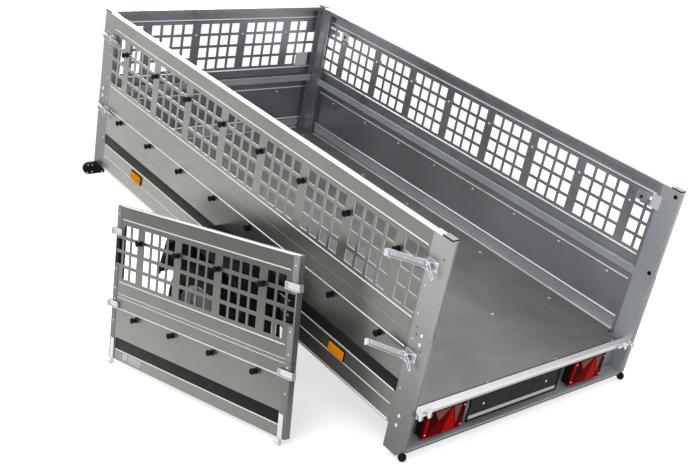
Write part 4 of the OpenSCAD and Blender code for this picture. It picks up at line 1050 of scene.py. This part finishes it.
# ---------------------------------------------------------------- stripes and labels
@step("Stripes and labels")
def build_stripes():
    """Lay the dark stripes and the blank labels."""
    stripes = bmesh.new()
    for side in (-1, 1):
        move = on_side(side)
        block(stripes, (-STRIPE_HALF, -0.2, STRIPE_LOW), (STRIPE_HALF, 0.5, STRIPE_HIGH), 0.2, 0, move)
    finish_piece("side_stripes", stripes, BOX, "box", "stripe_vinyl", weighted=False)
    gate = bmesh.new()
    half = GATE_HALF - GATE_RIM
    block(gate, (-half, -0.5, STRIPE_LOW - GATE_LOW), (half, 0.2, STRIPE_HIGH - GATE_LOW), 0.2)
    finish_piece("tailgate_stripe", gate, GATE, "tailgate", "stripe_vinyl", weighted=False)
    labels = bmesh.new()
    back = FRONT_SKIN - SHEET
    block(labels, (515, back - 6, 530), (592, back - 2.5, 604), 0.4)
    block(labels, (621, -1150, 752), (624.5, -1105, 812), 0.4)
    finish_piece("blank_labels", labels, BOX, "box", "label_film")
    tags = bmesh.new()
    for y in (955, -1062):
        block(tags, (620, y - 26, 758), (624, y + 26, 800), 1.0)
        rod(tags, (620, y + 4, 776), "-X", 7, 3, 0.8, 18, 1)
    finish_piece("holder_tags", tags, BOX, "box", "bright_zinc enamel")
    small = bmesh.new()
    for x, wide, low, slot in ((110, 40, 14, 0), (160, 100, 12, 1)):
        block(small, (x - GATE_HALF, -1.2, low), (x + wide - GATE_HALF, 0.1, 44), 0.3, slot)
    block(small, (GATE_HALF - 134, 6, GATE_SPLIT + 80), (GATE_HALF - 106, 8, GATE_SPLIT + 132), 0.3)
    finish_piece("tailgate_labels", small, GATE, "tailgate", "label_film frame_zinc")


# ---------------------------------------------------------------- the tailgate
@step("Tailgate")
def build_tailgate():
    """Form the leant tailgate with its stiles, catches and hooks."""
    finishes = "zinc_gate zinc_edge"
    for node in ("gate_board", "gate_mesh"):
        # faces that look up take the pale zinc: a painted highlight
        formed(node, "tailgate", finishes, sizes().edge / MM, choose=lit(GATE, 0.35))
    ridges = bmesh.new()
    for z in LOW_RIDGES[1:] + HIGH_RIDGES:
        ridge(ridges, GATE_HALF - GATE_RIM, z - GATE_LOW)
    for z in (GATE_SPLIT - 9, GATE_SPLIT + 7):
        ridge(ridges, GATE_HALF - 32, z, r=3.4)
    outward(ridges)
    for face in ridges.faces:
        # the ridges' upper faces take the pale zinc: a painted highlight
        face.material_index = int(face.normal.z > 0.12)
    finish_piece("tailgate_ridges", ridges, GATE, "tailgate", finishes)
    stiles, rivets = bmesh.new(), bmesh.new()
    catches, hooks = bmesh.new(), bmesh.new()
    for side in (-1, 1):
        move = flipped(side)
        lower, upper = (0.5, GATE_SPLIT - 0.6), (GATE_SPLIT + 0.6, GATE_HEIGHT - 0.5)
        edge, (hole, past) = -GATE_HALF, GATE_HOLES
        for low, high, wide in ((*lower, GATE_STILE), (upper[0], hole, GATE_STILE), (hole, past, 3),
                                (past, upper[1], GATE_STILE)):
            block(stiles, (edge - 2, -1.6, low), (edge + wide, 0.2, high), 0.7, 0, move)
        for low, high in (lower, upper):
            block(stiles, (edge - 3.5, -1.6, low), (edge + 0.2, 27, high), 2.6, 0, move, 3)
        # a black strip behind the stile's holes: painted shade for the shadow seen through them
        block(stiles, (edge + 3.5, 16, GATE_SPLIT + 20), (edge + 50, 18, GATE_HEIGHT - 30), 0.6, 1, move)
        for z in (GATE_SPLIT - 120, GATE_SPLIT - 20, GATE_SPLIT + 30, hole - 20, past + 20, GATE_HEIGHT - 40):
            dome(rivets, (edge + 14, -1.6, z), "-Y", 4.2, 2.2, 12, 0, move)
        for z in CATCH_ZS:
            at = move @ Matrix.Translation((edge, 0, z))
            block(catches, (-26, -4.6, -14), (56, -1.2, 14), 0.8, 0, at)
            for lo, hi in ((-15, -12.4), (12.4, 15)):
                block(catches, (-26, -12, lo), (56, -1.2, hi), 0.9, 0, at)
            block(catches, (53.4, -12, -15), (56, -1.2, 15), 0.9, 0, at)
            block(catches, (-28, -13, -15), (-25, 9, 15), 1.0, 0, at)
            for k in range(5):
                dome(catches, (-16 + 14 * k, -4.6, 0), "-Y", 3.8 if k % 2 else 4.8, 2.6, 12, 0, at)
        at = move @ Matrix.Translation((edge + HOOK_X, 0, 0))
        block(hooks, (-13, -5.2, -8), (13, -1.4, 96), 1.0, 0, at, 3)
        for z in (12, 30, 48, 66, 84):
            for x in (-6, 6):
                dome(hooks, (x, -5.2, z), "-Y", 3.2, 2.2, 12, 0, at)
        part = bmesh.new()
        verts = [part.verts.new(p) for p in ((-13, 0, 12), (13, 0, 12), (13, 0, 8), (-13, 0, 8))]
        face = part.faces.new(verts)
        bmesh.ops.spin(part, geom=[face], cent=(0, 0, 0), axis=(1, 0, 0),
                       angle=math.radians(290), steps=26, dvec=(0, 0, 0))
        outward(part)
        join(hooks, part, at @ Matrix.Translation((0, -10.5, -13)) @ Matrix.Rotation(
            math.radians(60), 4, "X"), 0)
    for bm in (stiles, rivets, catches, hooks):
        outward(bm)
    finish_piece("tailgate_stiles", stiles, GATE, "tailgate", "zinc_post black_plastic")
    finish_piece("tailgate_rivets", rivets, GATE, "tailgate", "bright_zinc")
    finish_piece("tailgate_catches", catches, GATE, "tailgate", "bright_zinc",
                 "gate_catches")
    finish_piece("tailgate_hooks", hooks, GATE, "tailgate", "bright_zinc", "gate_hinges")


# ---------------------------------------------------------------- wheels and mudguards
def wheel_frame(side):
    """Frame of a road wheel: Z runs out along the axle."""
    return BOX @ flipped(side) @ Matrix.Translation((-TYRE_MID, AXLE_Y, AXLE_Z)) @ AXES["-X"]


def tyre(name, node, body, side):
    """A radial tyre: turned casing with rim bead, rib grooves and cut shoulder blocks."""
    bm = bmesh.new()
    w, r, depth = TYRE_HALF, TYRE_R, sizes().tread / MM
    half = [(RIM_R - 1, w - 30), (RIM_R + 2, w - 18), (RIM_R + 10, w - 9), (RIM_R + 24, w - 3.4),
            (RIM_R + 30, w - 1.2), (RIM_R + 34, w - 1.6), (RIM_R + 52, w), (RIM_R + 66, w - 1.5),
            (r - 34, w - 4), (r - 30, w - 3), (r - 22, w - 7), (r - 11, w - 14)]
    crown = [(r - 4.0, w - 20), (r - 2.2, w - 34), (r - 2.4 - depth, w - 36), (r - 2.4 - depth, w - 42),
             (r - 1.2, w - 44), (r - 0.6, w - 58), (r - 1.0 - depth, w - 60), (r - 1.0 - depth, w - 66),
             (r - 0.2, w - 68)]
    left = half + crown
    profile = left + [(a, -b) for a, b in reversed(left)]
    profile.append(profile[0])
    steps = sizes().tread_pitch * 3
    turned(bm, profile, (0, 0, 0), "Z", steps)
    bm.faces.ensure_lookup_table()
    cut = []
    for face in bm.faces:
        at = face.calc_center_median()
        reach = math.hypot(at.x, at.y)
        step = int(round((math.atan2(at.y, at.x) % (2 * math.pi)) / (2 * math.pi) * steps - 0.5))
        shoulder = r - 20 < reach < r - 1 and abs(at.z) > w - 36
        rib = reach > r - 2.0 and w - 60 < abs(at.z) < w - 43
        if (shoulder and step % 3 == 0) or (rib and step % 6 == 2):
            cut.append(face)
    bmesh.ops.inset_individual(bm, faces=cut, thickness=0.35, depth=-depth * 0.8)
    outward(bm)
    finish_piece(name, bm, wheel_frame(side), body, "rubber", node, 32)


def hub(name, node, body, side):
    """Hub: drum with fins, flange, four wheel bolts and a grease cap."""
    bm = bmesh.new()
    turned(bm, [(18, -38), (52, -38), (55, -35), (55, -26), (52, -25), (52, -22), (55, -21), (55, -12),
                (52, -11), (52, -2), (68, -2), (70, 0), (70, 12), (68, 14), (34, 14), (18, 14), (18, -38)],
           (0, 0, 0), "Z", 48)
    turned(bm, [(0, 13), (32.5, 13), (32.5, 40), (31, 43), (31, 47), (28, 52), (20, 56), (0, 57.5)],
           (0, 0, 0), "Z", 40, 1)
    for k in range(4):
        turn = Matrix.Rotation(math.radians(90 * k + 45), 4, "Z") @ Matrix.Translation((50, 0, 18))
        part = bmesh.new()
        bmesh.ops.create_cone(part, cap_ends=True, segments=6, radius1=9.5, radius2=9.5, depth=13)
        soften(part, 1.2, 2, 20)
        join(bm, part, turn @ Matrix.Translation((0, 0, 8)), 1)
        spot = turn.translation
        turned(bm, [(0, 0), (12, 0), (12, 1.5), (10, 4), (0, 4)], (spot.x, spot.y, 17.5), "Z", 20, 1)
    outward(bm)
    finish_piece(name, bm, wheel_frame(side), body, "enamel bright_zinc", node)


@step("Wheels")
def build_wheels():
    """Build the tyres, rims, hubs and mudguards."""
    for word, side in (("left", -1), ("right", 1)):
        body = "wheel_" + word
        tyre("tyre_moulded_" + word, "tyre_" + word, body, side)
        formed("rim_" + word, body, "wheel_silver", 0.9, angle=40)
        hub("hub_turned_" + word, "hub_" + word, body, side)
        formed("mudguard_" + word, "box", "guard_plastic", 3.0, 3, angle=15)


# ---------------------------------------------------------------- drawbar and jockey wheel
@step("Drawbar and jockey wheel")
def build_drawbar():
    """Form the drawbar, the coupling and the jockey wheel."""
    formed("drawbar_tube", "drawbar", "frame_zinc", 4.0, 3)
    formed("coupling_head", "drawbar", "enamel", 2.4, 3)
    look = faces_in(BAR)

    def grip(face):
        height = look(face)[0].z
        return 1 if height > CRANK_Z + 10 else 2 if height > CRANK_Z - 2 else 0

    def wheel_rim(face):
        at = look(face)[0]
        return int(math.hypot(at.y - JOCKEY_Y + JOCKEY_TRAIL, at.z - JOCKEY_AXLE_Z) < JOCKEY_RIM)

    formed("jockey_tube", "drawbar", "zinc_lip black_plastic frame_zinc", 1.2, choose=grip)
    formed("jockey_clamp", "drawbar", "enamel", 3.0, 3)
    formed("jockey_stem", "jockey_leg", "zinc_lip", 1.0)
    formed("jockey_fork", "jockey_swivel", "bright_zinc", 1.0)
    formed("jockey_wheel", "jockey_roller", "rubber wheel_silver", 1.5, choose=wheel_rim)
    bolts = bmesh.new()
    for y in (COUPLING_Y - 150, COUPLING_Y - 60):
        for side in (-1, 1):
            way = "X" if side > 0 else "-X"
            rod(bolts, (side * BAR_HALF, y, 0), way, 12, 2.4, 0.6, 24)
            hexagon(bolts, (side * (BAR_HALF + 2), y, 0), way, 9.5, 7)
    for y in (COUPLING_Y - 168, COUPLING_Y - 28):
        for x in (-24, 24):
            hexagon(bolts, (x, y, BAR_HALF + 5.8), "Z", 8, 6)
    finish_piece("coupling_bolts", bolts, BAR, "drawbar", "bright_zinc")
    trim = bmesh.new()
    turned(trim, [(37, -41), (40.5, -41), (41.5, -39), (41.5, -33), (40.5, -31), (37, -31), (37, -41)],
           (0, COUPLING_Y, 0), "Z", 48)
    for z in (-14, -8, -2, 4):
        turned(trim, [(37, z), (38.6, z + 0.6), (38.6, z + 1.8), (37, z + 2.4), (37, z)],
               (0, COUPLING_Y, 0), "Z", 48)
    finish_piece("coupling_collar", trim, BAR, "drawbar", "enamel")
    clamp = bmesh.new()
    out = JOCKEY_X + JOCKEY_TUBE_R + 9
    rod(clamp, (out, JOCKEY_Y, 0), "X", 14, 4, 1.0, 28)
    hexagon(clamp, (out + 3.5, JOCKEY_Y, 0), "X", 12, 9)
    rod(clamp, (out + 12, JOCKEY_Y, 0), "X", 6, 18, 0.8, 20)
    rod(clamp, (out + 26, JOCKEY_Y, -48), "Z", 5, 96, 1.5, 20)
    for z in (-56, 42):
        rod(clamp, (out + 26, JOCKEY_Y, z), "Z", 8, 14, 3.0, 20, 1)
    for y in (-30, 30):
        hexagon(clamp, (out, JOCKEY_Y + y, 16), "X", 8, 6)
        hexagon(clamp, (out, JOCKEY_Y + y, -16), "X", 8, 6)
    finish_piece("jockey_clamp_handle", clamp, BAR, "drawbar", "bright_zinc black_plastic")
    rings = bmesh.new()
    for z in (JOCKEY_LOW, JOCKEY_LOW + COLLAR_STEP):
        turned(rings, [(23.6, z), (25.6, z + 0.8), (26.2, z + 3), (26.2, z + 9), (25.6, z + 11.4),
                       (23.6, z + 12), (23.6, z)], (JOCKEY_X, JOCKEY_Y, 0), "Z", 40)
    dome(rings, (JOCKEY_X, JOCKEY_Y, CRANK_Z + 8), "Z", 8, 5, 18)
    finish_piece("jockey_collars", rings, BAR, "drawbar", "bright_zinc")
    nuts = bmesh.new()
    for side in (-1, 1):
        at = (JOCKEY_X + side * JOCKEY_FORK, JOCKEY_Y - JOCKEY_TRAIL, JOCKEY_AXLE_Z)
        way = "X" if side > 0 else "-X"
        rod(nuts, at, way, 13, 2, 0.6, 24)
        hexagon(nuts, (at[0] + side * 1.8, at[1], at[2]), way, 10, 8)
    finish_piece("jockey_axle_nuts", nuts, BAR, "jockey_swivel", "bright_zinc")


# ---------------------------------------------------------------- the stage
GROUND_HALF, GROUND_DROP = 400.0, 0.0015
GROUND_TINT, GLOW = (0.80, 0.80, 0.80, 1.0), 0.64
LAMP_SIZE, FILL_PART = 2.4, 0.22
SENSOR_WIDTH = 36.0
CAMERA_PLACE = (-3.029, -3.780, 1.309)  # from the origin of the box's frame, in m


@step("Stage")
def build_stage():
    """Set the floor, the even light, the lamps and the camera."""
    scene = bpy.context.scene
    stage = scene.trailer_stage
    ground = bmesh.new()
    bmesh.ops.create_grid(ground, x_segments=8, y_segments=8, size=GROUND_HALF)
    mesh = bpy.data.meshes.new("ground")
    bmesh.ops.translate(ground, vec=(0, 0, -GROUND_DROP), verts=ground.verts)
    ground.to_mesh(mesh)
    ground.free()
    floor = bpy.data.objects.new("ground", mesh)
    scene.collection.objects.link(floor)
    material = bpy.data.materials.new("pale_ground")
    material.use_nodes = True
    g = Group(material.node_tree)
    material.node_tree.nodes.clear()
    matt = g.node("ShaderNodeBsdfDiffuse", {"Color": GROUND_TINT})
    glow = g.node("ShaderNodeEmission", {"Color": WHITE, "Strength": g.maths("MULTIPLY", g.shown(), GLOW)})
    both = g.node("ShaderNodeAddShader", {0: matt.outputs[0], 1: glow.outputs[0]})
    g.node("ShaderNodeOutputMaterial", {"Surface": both.outputs[0]})
    mesh.materials.append(material)

    world = bpy.data.worlds.new("studio")
    scene.world = world
    world.use_nodes = True
    w = Group(world.node_tree)
    world.node_tree.nodes.clear()
    strength = w.maths("ADD", stage.sky, w.maths("MULTIPLY", w.shown(), 1.0 - stage.sky))
    sky = w.node("ShaderNodeBackground", {"Color": WHITE, "Strength": strength})
    w.node("ShaderNodeOutputWorld", {"Surface": sky.outputs[0]})

    lo, hi = CAD_BOX
    middle = (Vector(lo) + Vector(hi)) / 2
    for name, place, power in (("key", (-3.4, -2.6, 3.6), stage.key), ("top", (0.6, 3.0, 4.2), stage.top),
                               ("fill", (3.8, -1.6, 3.4), stage.key * FILL_PART)):
        data = bpy.data.lights.new(name, "AREA")
        data.shape = "SQUARE"
        data.size = LAMP_SIZE
        data.energy = power
        lamp = bpy.data.objects.new(name, data)
        lamp.location = middle + Vector(place)
        lamp.rotation_mode = "QUATERNION"
        lamp.rotation_quaternion = (middle - lamp.location).to_track_quat("-Z", "Y")
        scene.collection.objects.link(lamp)

    data = bpy.data.cameras.new("camera")
    data.lens = stage.lens
    data.sensor_width = SENSOR_WIDTH
    data.clip_start, data.clip_end = 0.05, 1500.0
    camera = bpy.data.objects.new("camera", data)
    a, e = stage.azimuth, stage.elevation
    back = Vector((math.sin(a) * math.cos(e), -math.cos(a) * math.cos(e), math.sin(e)))
    camera.location = _origin + Vector(CAMERA_PLACE)
    camera.rotation_mode = "QUATERNION"
    camera.rotation_quaternion = (-back).to_track_quat("-Z", "Y")
    scene.collection.objects.link(camera)
    scene.camera = camera
    scene.view_settings.view_transform = "Standard"


class TRAILER_PT_panel(bpy.types.Panel):
    """Sizes, colours and build steps of the trailer"""
    bl_idname = "TRAILER_PT_panel"
    bl_label = "Tipping Box Trailer"
    bl_space_type = "VIEW_3D"
    bl_region_type = "UI"
    bl_category = "Trailer"

    def draw(self, context):
        for owner in (context.scene.trailer_sizes, context.scene.trailer_colours,
                      context.scene.trailer_stage):
            column = self.layout.box().column()
            for key in owner.__annotations__:
                column.prop(owner, key)
        for operator in OPERATORS:
            self.layout.operator(operator.bl_idname)


GROUPS = (("trailer_sizes", TrailerSizes), ("trailer_colours", TrailerColours),
          ("trailer_stage", StageSettings))


def register():
    for name, group in GROUPS:
        bpy.utils.register_class(group)
        setattr(bpy.types.Scene, name, PointerProperty(type=group))
    for operator in OPERATORS:
        bpy.utils.register_class(operator)
    bpy.utils.register_class(TRAILER_PT_panel)


def unregister():
    bpy.utils.unregister_class(TRAILER_PT_panel)
    for operator in reversed(OPERATORS):
        bpy.utils.unregister_class(operator)
    for name, group in reversed(GROUPS):
        delattr(bpy.types.Scene, name)
        bpy.utils.unregister_class(group)


def main():
    register()
    for operator in OPERATORS:
        group, step = operator.bl_idname.split(".")
        getattr(getattr(bpy.ops, group), step)()


if __name__ == "__main__":
    main()
